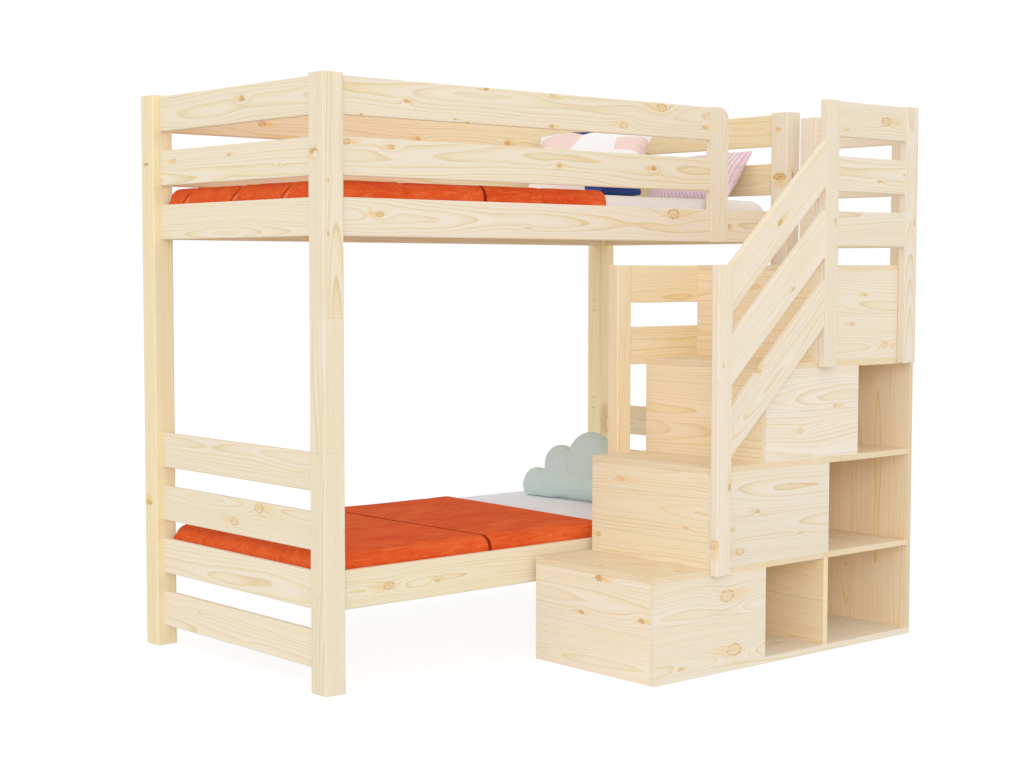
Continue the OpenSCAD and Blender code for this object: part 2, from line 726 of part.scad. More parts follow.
// Cloud-shaped cushion, standing on the lower bed with its face to the foot end.
cloud_x0 = 1426;
cloud_t = 112;
cloud_lobes = [[790, 57, 57], [656, 118, 74], [502, 132, 110], [362, 64, 64]];
module cloud_cushion() {
  zb = lower_deck + mattress_t + 0.5;
  color([0.68, 0.74, 0.71]) place() {
    for (c = cloud_lobes) rod_x(cloud_x0 + cloud_t / 2, c[0], zb + c[1], c[2], cloud_t);
    board_x(cloud_x0, cloud_x0 + cloud_t, 306, 842, zb, zb + 70, 30);
    block(cloud_x0, cloud_x0 + cloud_t, 360, 740, zb + 30, zb + 130);
  }
}

post_front_left_lower();
post_front_left_upper();
post_front_right_lower();
post_front_right_upper();
post_back_left_lower();
post_back_left_upper();
post_back_right_lower();
post_back_right_upper();
post_middle_sections();
post_pins();
post_lock_screws();
upper_front_guard_rails();
upper_front_side_rail();
upper_back_guard_rails();
upper_back_side_rail();
upper_left_end_rails();
upper_right_end_rails();
guard_end_board();
lower_front_side_rail();
lower_back_side_rail();
lower_left_end_rails();
lower_right_end_rails();
rail_bolts();
rail_barrel_nuts();
bolt_caps();
slat_cleats();
bed_slats();
stair_base_board();
tread_first();
tread_second();
tread_third();
platform_board();
riser_first();
riser_second();
riser_third();
riser_fourth();
front_panel_first();
front_panel_second();
front_panel_third();
front_panel_fourth();
stair_partitions();
stair_side_panel();
stair_back_panels();
front_newel();
back_newel();
stair_handrails();
guard_posts();
front_guard_rails();
side_guard_rails();
back_guard_rails();
wood_dowels();
stair_brackets();
wood_screws();
upper_mattress();
lower_mattress();
upper_covers();
lower_covers();
patterned_pillow();
ribbed_pillow();
cloud_cushion();
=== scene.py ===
"""Looks of the pine bunk bed with the box staircase: wood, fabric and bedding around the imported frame."""
import math
import bpy
import numpy as np
from mathutils import Matrix, Vector, noise


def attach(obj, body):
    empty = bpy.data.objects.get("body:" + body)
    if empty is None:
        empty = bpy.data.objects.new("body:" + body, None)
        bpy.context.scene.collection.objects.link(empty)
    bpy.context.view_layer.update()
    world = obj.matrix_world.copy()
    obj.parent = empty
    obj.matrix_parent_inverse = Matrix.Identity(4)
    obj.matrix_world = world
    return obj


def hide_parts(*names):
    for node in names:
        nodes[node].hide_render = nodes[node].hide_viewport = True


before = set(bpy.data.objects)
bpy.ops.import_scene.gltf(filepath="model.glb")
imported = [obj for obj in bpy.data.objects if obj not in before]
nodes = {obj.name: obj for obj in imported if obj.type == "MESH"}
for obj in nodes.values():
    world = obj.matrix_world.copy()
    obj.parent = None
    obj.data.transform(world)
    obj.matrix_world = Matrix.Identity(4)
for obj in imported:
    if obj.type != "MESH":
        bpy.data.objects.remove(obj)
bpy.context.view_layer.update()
scene = bpy.context.scene

OX, OY = 0.990, 0.225      # from the corner of the front left post to the middle of the plan


def mm(x, y, z):
    """A point measured in millimetres from the front left post's corner, in the row frame."""
    return (x / 1000 - OX, y / 1000 - OY, z / 1000)


# ------------------------------------------------------------------ camera

F_PX = 1805.19
yaw, pitch, roll = 0.715058, 0.062971, 0.001190
cy, sy, cp, sp = math.cos(yaw), math.sin(yaw), math.cos(pitch), math.sin(pitch)
fwd = Vector((sy * cp, cy * cp, -sp))
right = Vector((cy, -sy, 0.0))
up = right.cross(fwd)
r2 = right * math.cos(roll) + up * math.sin(roll)
u2 = up * math.cos(roll) - right * math.sin(roll)
cam_data = bpy.data.cameras.new("camera")
cam_data.sensor_width = 36.0
cam_data.sensor_fit = "HORIZONTAL"
cam_data.lens = F_PX * 36.0 / 1024
cam_data.clip_end = 60
cam = bpy.data.objects.new("camera", cam_data)
scene.collection.objects.link(cam)
place = Matrix((r2, u2, -fwd)).transposed().to_4x4()
place.translation = Vector((-2.82909 - OX, -4.03824 - OY, 1.17497))
cam.matrix_world = place
scene.camera = cam

# ------------------------------------------------------------------ node helpers


VIEW_GAMMA = 1.4


def srgb(r, g, b):
    """A colour as it reads in the finished picture in full light, 0 to 255, undone through the view's gamma."""
    def f(c):
        c /= 255
        return (c / 12.92 if c <= 0.04045 else ((c + 0.055) / 1.055) ** 2.4) ** VIEW_GAMMA
    return (f(r), f(g), f(b), 1.0)


class Net:
    """Short words for building a material's nodes."""

    def __init__(self, name):
        self.mat = bpy.data.materials.new(name)
        self.mat.use_nodes = True
        self.t = self.mat.node_tree
        self.t.nodes.clear()
        self.out = self.t.nodes.new("ShaderNodeOutputMaterial")
        self.bsdf = self.t.nodes.new("ShaderNodeBsdfPrincipled")
        self.t.links.new(self.bsdf.outputs[0], self.out.inputs[0])
        self.coord = self.t.nodes.new("ShaderNodeTexCoord").outputs["Object"]

    def put(self, socket, value):
        if isinstance(value, bpy.types.NodeSocket):
            self.t.links.new(value, socket)
        else:
            socket.default_value = value

    def m(self, op, *args, clamp=False):
        n = self.t.nodes.new("ShaderNodeMath")
        n.operation = op
        n.use_clamp = clamp
        for i, a in enumerate(args):
            self.put(n.inputs[i], a)
        return n.outputs[0]

    def v(self, op, *args):
        n = self.t.nodes.new("ShaderNodeVectorMath")
        n.operation = op
        for i, a in enumerate(args):
            self.put(n.inputs["Scale"] if op == "SCALE" and i == 1 else n.inputs[i], a)
        return n.outputs["Value"] if op in ("LENGTH", "DISTANCE", "DOT_PRODUCT") else n.outputs["Vector"]

    def sep(self, vec):
        n = self.t.nodes.new("ShaderNodeSeparateXYZ")
        self.put(n.inputs[0], vec)
        return list(n.outputs)

    def comb(self, x, y, z):
        n = self.t.nodes.new("ShaderNodeCombineXYZ")
        for i, a in enumerate((x, y, z)):
            self.put(n.inputs[i], a)
        return n.outputs[0]

    def noise(self, vec, scale=1.0, detail=2.0, rough=0.5, dist=0.0):
        n = self.t.nodes.new("ShaderNodeTexNoise")
        self.put(n.inputs["Vector"], vec)
        n.inputs["Scale"].default_value = scale
        n.inputs["Detail"].default_value = detail
        n.inputs["Roughness"].default_value = rough
        n.inputs["Distortion"].default_value = dist
        return n.outputs["Fac"] if "Fac" in n.outputs else n.outputs[0]

    def white(self, vec):
        n = self.t.nodes.new("ShaderNodeTexWhiteNoise")
        n.noise_dimensions = "3D"
        self.put(n.inputs["Vector"], vec)
        return n.outputs["Value"], self.sep(n.outputs["Color"])

    def remap(self, value, a, b, c=0.0, d=1.0, smooth=True):
        n = self.t.nodes.new("ShaderNodeMapRange")
        n.interpolation_type = "SMOOTHSTEP" if smooth else "LINEAR"
        self.put(n.inputs["Value"], value)
        for k, x in (("From Min", a), ("From Max", b), ("To Min", c), ("To Max", d)):
            n.inputs[k].default_value = x
        return n.outputs["Result"]

    def mix(self, fac, a, b, how="MIX"):
        n = self.t.nodes.new("ShaderNodeMix")
        n.data_type = "RGBA"
        n.blend_type = how
        self.put(n.inputs["Factor"], fac)
        self.put(n.inputs["A"] if False else n.inputs[6], a)
        self.put(n.inputs[7], b)
        return n.outputs[2]

    def bump(self, height, strength, distance, normal=None):
        n = self.t.nodes.new("ShaderNodeBump")
        n.inputs["Strength"].default_value = strength
        n.inputs["Distance"].default_value = distance
        self.put(n.inputs["Height"], height)
        if normal is not None:
            self.put(n.inputs["Normal"], normal)
        return n.outputs[0]

    def grey(self, value):
        """A value as a colour, for multiplying."""
        return self.comb(value, value, value)


# ------------------------------------------------------------------ pine

EARLY = srgb(241, 229, 211)
GLOW = srgb(235, 212, 158)
LATE = srgb(214, 180, 122)
OCHRE = srgb(236, 214, 160)
KNOT = srgb(206, 140, 70)
KNOT_DARK = srgb(126, 66, 24)
KNOT_PALE = srgb(238, 210, 150)
KNOT_LINE = srgb(212, 158, 88)
WING = srgb(236, 200, 116)


def pine(name, grain="X", wide="Z", cell=(None, None, None), org=(0, 0, 0), mid=(0, 0), seed=0, plank=None,
         plank_org=0.0, knots=(), stray=0.3, turn=0.0, ring=0.0072, deep=0.03, tint=(1.0, 1.0, 1.0), wild=1.0, size=1.0, clear=None, painted_light_sides=()):
    """Knotty pine. grain and wide are the axes along the grain and across the face, cell the spacing of the boards
    that share a node, plank the width of the strips that a panel is glued from, all in metres from the post's corner.
    knots are (x, y, z, radius, darkness) in millimetres, and stray is the share of places with a knot of chance.
    The last argument lists the boards of a shared node that get a painted light and shade tint for where they stand: a
    side in x, a side in y, and the tint."""
    g = Net(name)
    p = g.v("ADD", g.coord, (OX, OY, 0))
    if turn:
        n = g.t.nodes.new("ShaderNodeVectorRotate")
        n.rotation_type = "Y_AXIS"
        g.put(n.inputs["Vector"], p)
        n.inputs["Angle"].default_value = turn
        p = n.outputs[0]
    ax = g.sep(p)
    thin = [a for a in "XYZ" if a not in (grain, wide)][0]
    gi, wi, ti = "XYZ".index(grain), "XYZ".index(wide), "XYZ".index(thin)
    u, v, w = ax[gi], ax[wi], ax[ti]
    idx = [0.0, 0.0, 0.0]
    local = {}
    for i in range(3):
        if cell[i]:
            k = g.m("FLOOR", g.m("DIVIDE", g.m("SUBTRACT", ax[i], org[i]), cell[i]))
            idx[i] = k
            if i != gi:
                local[i] = g.m("SUBTRACT", g.m("SUBTRACT", ax[i], org[i]), g.m("MULTIPLY", g.m("ADD", k, 0.5), cell[i]))
    seam = None
    if plank:
        q = g.m("DIVIDE", g.m("SUBTRACT", v, plank_org), plank)
        k = g.m("FLOOR", q)
        idx[ti] = g.m("ADD", idx[ti], g.m("MULTIPLY", k, 7.31))
        local[wi] = g.m("MULTIPLY", g.m("SUBTRACT", g.m("SUBTRACT", q, k), 0.5), plank)
        edge = g.m("SUBTRACT", 0.5, g.m("ABSOLUTE", g.m("SUBTRACT", g.m("SUBTRACT", q, k), 0.5)))
        seam = g.remap(edge, 0.0, 0.0013 / plank, 1.0, 0.0)
        if clear is not None:                        # no joint shows on the board's end
            seam = g.m("MULTIPLY", seam, g.remap(u, clear + 0.0003, clear + 0.0012))
    vl = local.get(wi, g.m("SUBTRACT", v, mid[0]))
    wl = local.get(ti, g.m("SUBTRACT", w, mid[1]))
    value, rnd = g.white(g.v("ADD", g.comb(*idx), (seed * 1.37 + 0.2, seed * 0.71 + 5.1, seed * 2.93 + 1.7)))
    shift = g.v("SCALE", g.comb(*rnd), 40.0)

    def stretched(a, b_):
        return g.v("ADD", g.comb(g.m("MULTIPLY", u, a), g.m("MULTIPLY", v, b_), g.m("MULTIPLY", w, b_)), shift)
    # distance from the tree's heart, bent by slow noise, so that the rings run out into arches
    vc = g.m("ADD", vl, g.m("MULTIPLY", g.m("SUBTRACT", rnd[0], 0.5), 0.100))
    wc = g.m("ADD", wl, g.m("ADD", g.m("MULTIPLY", rnd[1], 0.06), deep))
    r = g.m("SQRT", g.m("ADD", g.m("MULTIPLY", vc, vc), g.m("MULTIPLY", wc, wc)))
    n1 = g.noise(stretched(1.5, 7.0), 1.0, 1.0, 0.45)
    n2 = g.noise(stretched(6.0, 30.0), 1.0, 1.5, 0.5)
    r = g.m("ADD", r, g.m("MULTIPLY", g.m("SUBTRACT", n1, 0.5), 0.046 * wild))
    r = g.m("ADD", r, g.m("MULTIPLY", g.m("SUBTRACT", n2, 0.5), 0.0034 * wild))
    r = g.m("ADD", r, g.m("MULTIPLY", u, g.m("MULTIPLY", g.m("SUBTRACT", rnd[2], 0.5), 0.035)))

    # knots: places given, and places by chance
    def bend(a):
        q = [0.0, 0.0, 0.0]
        q[gi], q[wi], q[ti] = a, 1.0, 0.22
        return tuple(q)
    near = dark = halo = None
    rag = g.m("ADD", 0.78, g.m("MULTIPLY", g.noise(p, 150.0, 2.0, 0.6), 0.44))
    found = []
    for i, (kx, ky, kz, kr, kd) in enumerate(knots):
        c = Vector((kx / 1000, ky / 1000, kz / 1000))
        if turn:
            c = Matrix.Rotation(turn, 3, "Y") @ c
        d = g.v("SUBTRACT", p, tuple(c))
        found.append((d, 1000 / kr, kd, kr / 1000, None, (1 if (i + seed) % 2 else -1) * kr / 1000 * 2.1))
    if stray > 0:
        spaced = [0.0, 0.0, 0.0]
        spaced[gi], spaced[wi], spaced[ti] = 1 / 0.34, 1 / 0.115, 1 / 0.6
        vo = g.t.nodes.new("ShaderNodeTexVoronoi")
        vo.voronoi_dimensions = "3D"
        vo.inputs["Scale"].default_value = 1.0
        vo.inputs["Randomness"].default_value = 0.75
        at = g.v("ADD", g.v("MULTIPLY", p, tuple(spaced)), g.v("SCALE", g.v("ADD", g.comb(*idx), (seed * 0.37, seed * 1.9, seed * 0.83)), 3.7))
        g.put(vo.inputs["Vector"], at)
        back = g.v("MULTIPLY", g.v("SUBTRACT", at, vo.outputs["Position"]), tuple(1 / s_ for s_ in spaced))
        pick = g.sep(vo.outputs["Color"])
        rad = g.m("ADD", 0.0030 * size, g.m("MULTIPLY", g.m("MULTIPLY", pick[1], pick[1]), 0.0055 * size))
        on = g.m("LESS_THAN", pick[0], stray)
        found.append((back, g.m("DIVIDE", 1.0, rad), g.m("ADD", 0.15, g.m("MULTIPLY", pick[2], 0.65)), 0.006,
                      g.m("MULTIPLY", g.m("SUBTRACT", 1.0, on), 50.0), 0.009))
    for vec, inv, kd, kr, off, wing in found:
        ds = []
        side = [0.0, 0.0, 0.0]
        side[gi] = wing
        for a, at in ((0.60, vec), (0.38, vec), (0.26, g.v("SUBTRACT", vec, tuple(side)))):
            d = g.m("MULTIPLY", g.v("LENGTH", g.v("MULTIPLY", at, bend(a))), inv)
            ds.append(g.m("ADD", d, off) if off is not None else d)
        d, dm, dw = ds
        d = g.m("MULTIPLY", d, rag)
        lift = g.m("EXPONENT", g.m("MULTIPLY", g.m("MULTIPLY", dm, dm), -0.22))
        r = g.m("ADD", r, g.m("MULTIPLY", lift, 0.0020 + kr * 0.80))
        dk = g.m("MULTIPLY", g.remap(d, 1.30, 1.55, 1.0, 0.0), kd)
        hl = g.m("MULTIPLY", g.remap(dw, 0.2, 2.3, 1.0, 0.0), g.m("ADD", 0.55, g.m("MULTIPLY", kd, 0.45)))
        near = d if near is None else g.m("MINIMUM", near, d)
        dark = dk if dark is None else g.m("MAXIMUM", dark, dk)
        halo = hl if halo is None else g.m("MAXIMUM", halo, hl)

    t = g.m("DIVIDE", r, ring * 0.82)
    whole = g.m("FLOOR", t)
    part = g.m("SUBTRACT", t, whole)
    strength, _ = g.white(g.comb(whole, seed * 1.0 + 0.5, idx[wi] if wi != ti else 0.0))
    strength = g.m("ADD", 0.25, g.m("MULTIPLY", strength, 0.75))
    glow = g.m("MULTIPLY", g.m("MULTIPLY", g.remap(part, 0.20, 0.92), g.remap(part, 0.95, 1.0, 1.0, 0.0)), strength)
    line = g.m("MULTIPLY", g.m("MULTIPLY", g.remap(part, 0.72, 0.92), g.remap(part, 0.94, 1.0, 1.0, 0.0)), strength)
    broad = g.noise(stretched(2.2, 13.0), 1.0, 2.0, 0.5)
    fibre = g.noise(stretched(9.0, 320.0), 1.0, 2.5, 0.6)
    fade = g.noise(stretched(14.0, 60.0), 1.0, 1.0, 0.5)                # lines thin out and come back along the board
    late = g.m("MULTIPLY", line, g.m("MULTIPLY", g.remap(broad, 0.25, 0.75, 0.50, 1.0), g.remap(fade, 0.25, 0.65, 0.35, 1.0)))
    col = g.mix(g.m("MULTIPLY", glow, 0.62), EARLY, GLOW)
    col = g.mix(g.m("MULTIPLY", late, 0.66), col, LATE)
    col = g.mix(g.m("MULTIPLY", g.remap(broad, 0.52, 0.80), 0.30), col, OCHRE)
    if near is not None:
        wisp = g.remap(g.m("ADD", halo, g.m("MULTIPLY", g.m("SUBTRACT", fibre, 0.5), 0.9)), 0.10, 1.15)
        col = g.mix(g.m("MULTIPLY", wisp, 0.74), col, WING)
        inside = g.remap(near, 0.90, 1.10, 1.0, 0.0)
        arcs = g.remap(g.m("SINE", g.m("ADD", g.m("MULTIPLY", near, 13.0), g.m("MULTIPLY", rag, 5.0))), 0.1, 0.95)
        kcol = g.mix(g.m("MULTIPLY", dark, 0.55), KNOT_PALE, KNOT)
        kcol = g.mix(g.m("MULTIPLY", arcs, 0.55), kcol, KNOT_LINE)
        heart = g.m("MULTIPLY", g.remap(g.m("ADD", near, g.m("MULTIPLY", g.m("SUBTRACT", fibre, 0.5), 0.9)), 0.15, 0.55, 1.0, 0.0), g.remap(dark, 0.35, 0.95))
        kcol = g.mix(g.m("MULTIPLY", heart, 0.80), kcol, KNOT_DARK)
        col = g.mix(g.m("MULTIPLY", inside, g.m("ADD", 0.24, g.m("MULTIPLY", dark, 0.68))), col, kcol)
        gap = g.noise(g.v("ADD", p, (3.1, 1.7, 4.4)), 95.0, 1.0, 0.5)
        rim = g.m("MULTIPLY", g.remap(near, 0.78, 0.96), g.remap(near, 1.02, 1.18, 1.0, 0.0))
        rim = g.m("MULTIPLY", rim, g.remap(gap, 0.38, 0.56, 0.10, 1.0))
        col = g.mix(g.m("MULTIPLY", rim, g.m("ADD", 0.62, g.m("MULTIPLY", dark, 0.36))), col, g.mix(g.m("MULTIPLY", dark, 0.75), KNOT, KNOT_DARK))
    tone = g.m("ADD", 0.960, g.m("MULTIPLY", value, 0.05))
    tone = g.m("MULTIPLY", tone, g.m("ADD", 0.970, g.m("MULTIPLY", fibre, 0.06)))
    if seam is not None:
        tone = g.m("MULTIPLY", tone, g.m("SUBTRACT", 1.0, g.m("MULTIPLY", seam, 0.24)))
    cool = g.m("MULTIPLY", tone, g.m("ADD", 0.985, g.m("MULTIPLY", rnd[1], 0.03)))
    # the tint and the per-side tints are painted light and shade for where each board stands, multiplied into its
    # colour here
    tint = list(tint)
    for side_x, side_y, own in painted_light_sides:
        on = g.m("MULTIPLY", g.m("GREATER_THAN" if side_x > 0 else "LESS_THAN", ax[0], 0.99), g.m("GREATER_THAN" if side_y > 0 else "LESS_THAN", ax[1], 0.49))
        tint = [g.m("MULTIPLY_ADD", on, own[i] - 1.0, tint[i]) for i in range(3)]
    col = g.mix(1.0, col, g.comb(g.m("MULTIPLY", tone, tint[0]), g.m("MULTIPLY", tone, tint[1]), g.m("MULTIPLY", cool, tint[2])), "MULTIPLY")
    g.put(g.bsdf.inputs["Base Color"], col)
    rough = g.m("ADD", 0.50, g.m("SUBTRACT", g.m("MULTIPLY", fibre, 0.10), g.m("MULTIPLY", late, 0.08)))
    g.put(g.bsdf.inputs["Roughness"], rough)
    g.bsdf.inputs["Specular IOR Level"].default_value = 0.25
    height = g.m("ADD", g.m("MULTIPLY", late, 0.5), g.m("MULTIPLY", fibre, 0.35))
    if near is not None:
        height = g.m("SUBTRACT", height, g.m("MULTIPLY", rim, 0.6))
    if seam is not None:
        height = g.m("SUBTRACT", height, g.m("MULTIPLY", seam, 1.2))
    g.put(g.bsdf.inputs["Normal"], g.bump(height, 0.30, 0.0004))
    return g.mat


def paint(node, mat):
    o = nodes[node]
    for s in o.material_slots:
        s.material = mat
    if not o.material_slots:
        o.data.materials.append(mat)


P3 = (None, None, 0.166)
theta = math.atan(0.8987)
rail_c = -1.060 * math.sin(theta) + 1.124 * math.cos(theta)     # the top handrail board's middle, across the slope
rail_s = 0.211 * math.cos(theta)

WOOD = {
    # posts
    "post_front_left_lower": dict(grain="Z", wide="X", mid=(0.035, 0.036), seed=1, stray=0.10, ring=0.0068, wild=0.75),
    "post_front_left_upper": dict(grain="Z", wide="X", mid=(0.035, 0.036), seed=2, stray=0.0, ring=0.0068, wild=0.75,
                                  knots=[(0, 45, 1500, 4, .8), (16, 0, 1272, 3, .7), (18, 0, 1418, 2.5, .4)]),
    "post_front_right_lower": dict(grain="Z", wide="X", mid=(1.945, 0.036), seed=3, stray=0.10, ring=0.0068, wild=0.75),
    "post_front_right_upper": dict(grain="Z", wide="X", mid=(1.945, 0.036), seed=4, stray=0.0, ring=0.0068, wild=0.75,
                                   knots=[(1910, 30, 1494, 6, .8), (1942, 0, 1499, 5, .9), (1910, 39, 1656, 2.5, .6)]),
    "post_back_left_lower": dict(grain="Z", wide="X", mid=(0.035, 0.944), seed=5, stray=0.0, ring=0.0068, wild=0.75,
                                 knots=[(0, 955, 448, 4, .7)]),
    "post_back_left_upper": dict(grain="Z", wide="X", mid=(0.035, 0.944), seed=6, stray=0.0, ring=0.0068, wild=0.75,
                                 knots=[(0, 949, 1500, 3, .8)]),
    "post_back_right_lower": dict(grain="Z", wide="X", mid=(1.945, 0.944), seed=7, stray=0.15, ring=0.0068, wild=0.75),
    "post_back_right_upper": dict(grain="Z", wide="X", mid=(1.945, 0.944), seed=8, stray=0.15, ring=0.0068, wild=0.75),
    "post_middle_sections": dict(grain="Z", wide="X", cell=(0.99, 0.49, None), seed=9, stray=0.10, ring=0.0068, wild=0.75,
                                 painted_light_sides=[(1, 1, (1.16, 1.10, 0.79)), (-1, 1, (1.08, 1.04, 0.775)), (-1, -1, (1.0, 1.0, 0.93))]),
    # upper bed
    "upper_front_guard_rails": dict(cell=P3, org=(0, 0, 1.4045), mid=(0, 0.035), seed=11, stray=0.0,
                                    knots=[(305, 25, 1650, 5, .75), (600, 25, 1703, 5, .9), (480, 25, 1609, 2.5, .8), (530, 25, 1602, 3, .7), (856, 25, 1609, 5, .7),
                                           (1162, 25, 1628, 10, .1), (1531, 25, 1640, 6, .5), (1330, 25, 1692, 12, .22), (860, 25, 1699, 6, .3),
                                           (148, 25, 1604, 2.5, .8), (96, 25, 1528, 8, .5), (250, 25, 1518, 6.5, .55), (887, 25, 1492, 5, .7),
                                           (1296, 25, 1498, 6.5, .9)]),
    "upper_front_side_rail": dict(mid=(1.3215, 0.035), seed=12, stray=0.0,
                                  knots=[(210, 25, 1331, 8, .6), (1387, 25, 1356, 15, .35), (1649, 25, 1322, 5, .5), (760, 25, 1300, 4, .3)]),
    "upper_back_guard_rails": dict(cell=P3, org=(0, 0, 1.4045), mid=(0, 0.945), seed=13, stray=0.0,
                                   knots=[(417, 935, 1646, 8, .6), (1055, 935, 1629, 6, .7), (1467, 935, 1633, 7, .8), (700, 935, 1480, 5, .6),
                                          (1740, 935, 1500, 7, .7)]),
    "upper_back_side_rail": dict(mid=(1.3215, 0.945), seed=14, stray=0.35),
    "upper_left_end_rails": dict(grain="Y", cell=P3, org=(0, 0, 1.2385), mid=(0, 0.035), seed=15, stray=0.0,
                                 knots=[(25, 440, 1668, 8, .75), (25, 515, 1512, 5, .5), (25, 824, 1506, 7, .3), (25, 250, 1471, 3.5, .4)]),
    "upper_right_end_rails": dict(grain="Y", cell=P3, org=(0, 0, 1.2385), mid=(0, 1.945), seed=16, stray=0.25),
    "guard_end_board": dict(grain="Z", wide="X", mid=(1.598, 0.031), seed=17, stray=0.0),
    # lower bed
    "lower_front_side_rail": dict(mid=(0.284, 0.035), seed=18, stray=0.0,
                                  knots=[(237, 25, 281, 11, .45), (413, 25, 276, 5, .5), (1150, 25, 300, 5, .7)]),
    "lower_back_side_rail": dict(mid=(0.284, 0.945), seed=19, stray=0.35),
    "lower_left_end_rails": dict(grain="Y", cell=P3, org=(0, 0, 0.0335), mid=(0, 0.035), seed=20, stray=0.0,
                                 knots=[(25, 366, 486, 13, .12), (25, 499, 434, 12, .15), (25, 700, 130, 4, .2)]),
    "lower_right_end_rails": dict(grain="Y", cell=P3, org=(0, 0, 0.0335), mid=(0, 1.945), seed=21, stray=0.3),
    "slat_cleats": dict(cell=(None, 0.5, 0.8), seed=22, stray=0.2),
    "bed_slats": dict(grain="Y", wide="X", cell=(0.134, None, 0.8), org=(0.052, 0, 0), seed=23, stray=0.35),
    # staircase
    "stair_base_board": dict(grain="X", wide="Y", plank=0.13, plank_org=-0.455, mid=(0, 0.01), seed=31, stray=0.3),
    "tread_first": dict(grain="Y", wide="X", clear=-0.502, plank=0.128, plank_org=0.742, mid=(0, 0.3), seed=32, stray=0.0,
                        knots=[(815, -235, 309, 6, .5), (950, -330, 309, 4, .3), (1700, -300, 309, 6, .6)]),
    "tread_second": dict(grain="Y", wide="X", clear=-0.502, plank=0.128, plank_org=0.98, mid=(0, 0.59), seed=33, stray=0.25),
    "tread_third": dict(grain="Y", wide="X", clear=-0.502, plank=0.128, plank_org=1.21, mid=(0, 0.89), seed=34, stray=0.25),
    "platform_board": dict(grain="Y", wide="X", clear=-0.502, plank=0.128, plank_org=1.42, mid=(0, 1.18), seed=35, stray=0.3),
    "riser_first": dict(grain="Y", plank=0.137, plank_org=0.0, mid=(0, 0.783), seed=36, stray=0.0,
                        knots=[(774, -276, 282, 8, .9), (774, -202, 171, 6, .7), (774, -450, 181, 7, .8)]),
    "riser_second": dict(grain="Y", plank=0.128, plank_org=0.384, mid=(0, 1.016), seed=37, stray=0.0,
                         knots=[(1007, -27, 361, 6, .5), (1007, -120, 540, 9, .12), (1007, -400, 420, 4, .3)]),
    "riser_third": dict(grain="Y", plank=0.128, plank_org=0.70, mid=(0, 1.25), seed=38, stray=0.35),
    "riser_fourth": dict(grain="Y", plank=0.128, plank_org=0.95, mid=(0, 1.483), seed=39, stray=0.35),
    "front_panel_first": dict(plank=0.143, plank_org=0.020, mid=(0, -0.493), seed=41, stray=0.0, wild=1.5,
                              knots=[(1075, -502, 225, 17, .12), (1108, -502, 62, 17, .10), (880, -502, 36, 5, .3)]),
    "front_panel_second": dict(plank=0.150, plank_org=0.300, mid=(0, -0.493), seed=42, stray=0.0,
                               knots=[(1208, -502, 463, 5, .6), (1400, -502, 380, 4, .3), (1130, -502, 350, 10, .1)]),
    "front_panel_third": dict(plank=0.140, plank_org=0.610, mid=(0, -0.493), seed=43, stray=0.0,
                              knots=[(1560, -502, 760, 6, .4), (1400, -502, 690, 8, .1)]),
    "front_panel_fourth": dict(plank=0.140, plank_org=0.900, mid=(0, -0.493), seed=44, stray=0.0,
                               knots=[(1640, -502, 1010, 6, .35), (1800, -502, 940, 9, .1), (1700, -502, 1100, 5, .5)]),
    "stair_partitions": dict(grain="Y", cell=(0.13, None, None), org=(1.2, 0, 0), plank=0.128, plank_org=0.03, seed=45, stray=0.3),
    "stair_side_panel": dict(grain="Z", wide="Y", plank=0.076, plank_org=-0.502, mid=(0, 1.943), seed=46, stray=0.3),
    "stair_back_panels": dict(cell=(None, None, 0.29433), org=(0, 0, 0.0147), mid=(0, -0.0045), seed=47, stray=0.3),
    # guards
    "front_newel": dict(grain="Z", wide="X", mid=(1.03, -0.516), seed=51, stray=0.0,
                        knots=[(1052, -530, 547, 6, .7), (1000, -520, 385, 7, .35), (1020, -530, 900, 3, .4)]),
    "back_newel": dict(grain="Z", wide="X", mid=(1.144, 0.022), seed=52, stray=0.1),
    "stair_handrails": dict(grain="X", wide="Z", turn=theta, cell=(None, None, rail_s), org=(0, 0, rail_c - 2.5 * rail_s), mid=(0, -0.516),
                            seed=53, stray=0.0, knots=[(1266, -526, 1316, 7, .75), (1330, -526, 1120, 4, .5), (1180, -526, 880, 5, .5)]),
    "guard_posts": dict(grain="Z", wide="X", cell=(0.3, 0.12, None), org=(1.4, -0.6, 0), seed=54, stray=0.0,
                        knots=[(1518, -530, 1326, 4, .6), (1908, -530, 1326, 4, .6)]),
    "front_guard_rails": dict(cell=P3, org=(0, 0, 1.2195), mid=(0, -0.516), seed=55, stray=0.0,
                              knots=[(1764, -526, 1638, 12, .3), (1576, -526, 1603, 3, .5), (1734, -526, 1451, 5, .6)]),
    "side_guard_rails": dict(grain="Y", cell=P3, org=(0, 0, 1.2195), mid=(0, 1.966), seed=56, stray=0.3),
    "back_guard_rails": dict(cell=(None, None, 0.194), org=(0, 0, 0.841), mid=(0, 0.01), seed=57, stray=0.3),
    "wood_dowels": dict(grain="X", cell=(0.05, 0.05, 0.05), seed=58, stray=0.0),
    "bolt_caps": dict(grain="Z", wide="Y", cell=(0.9, 0.4, 0.08), seed=59, stray=0.0, ring=0.003),
}
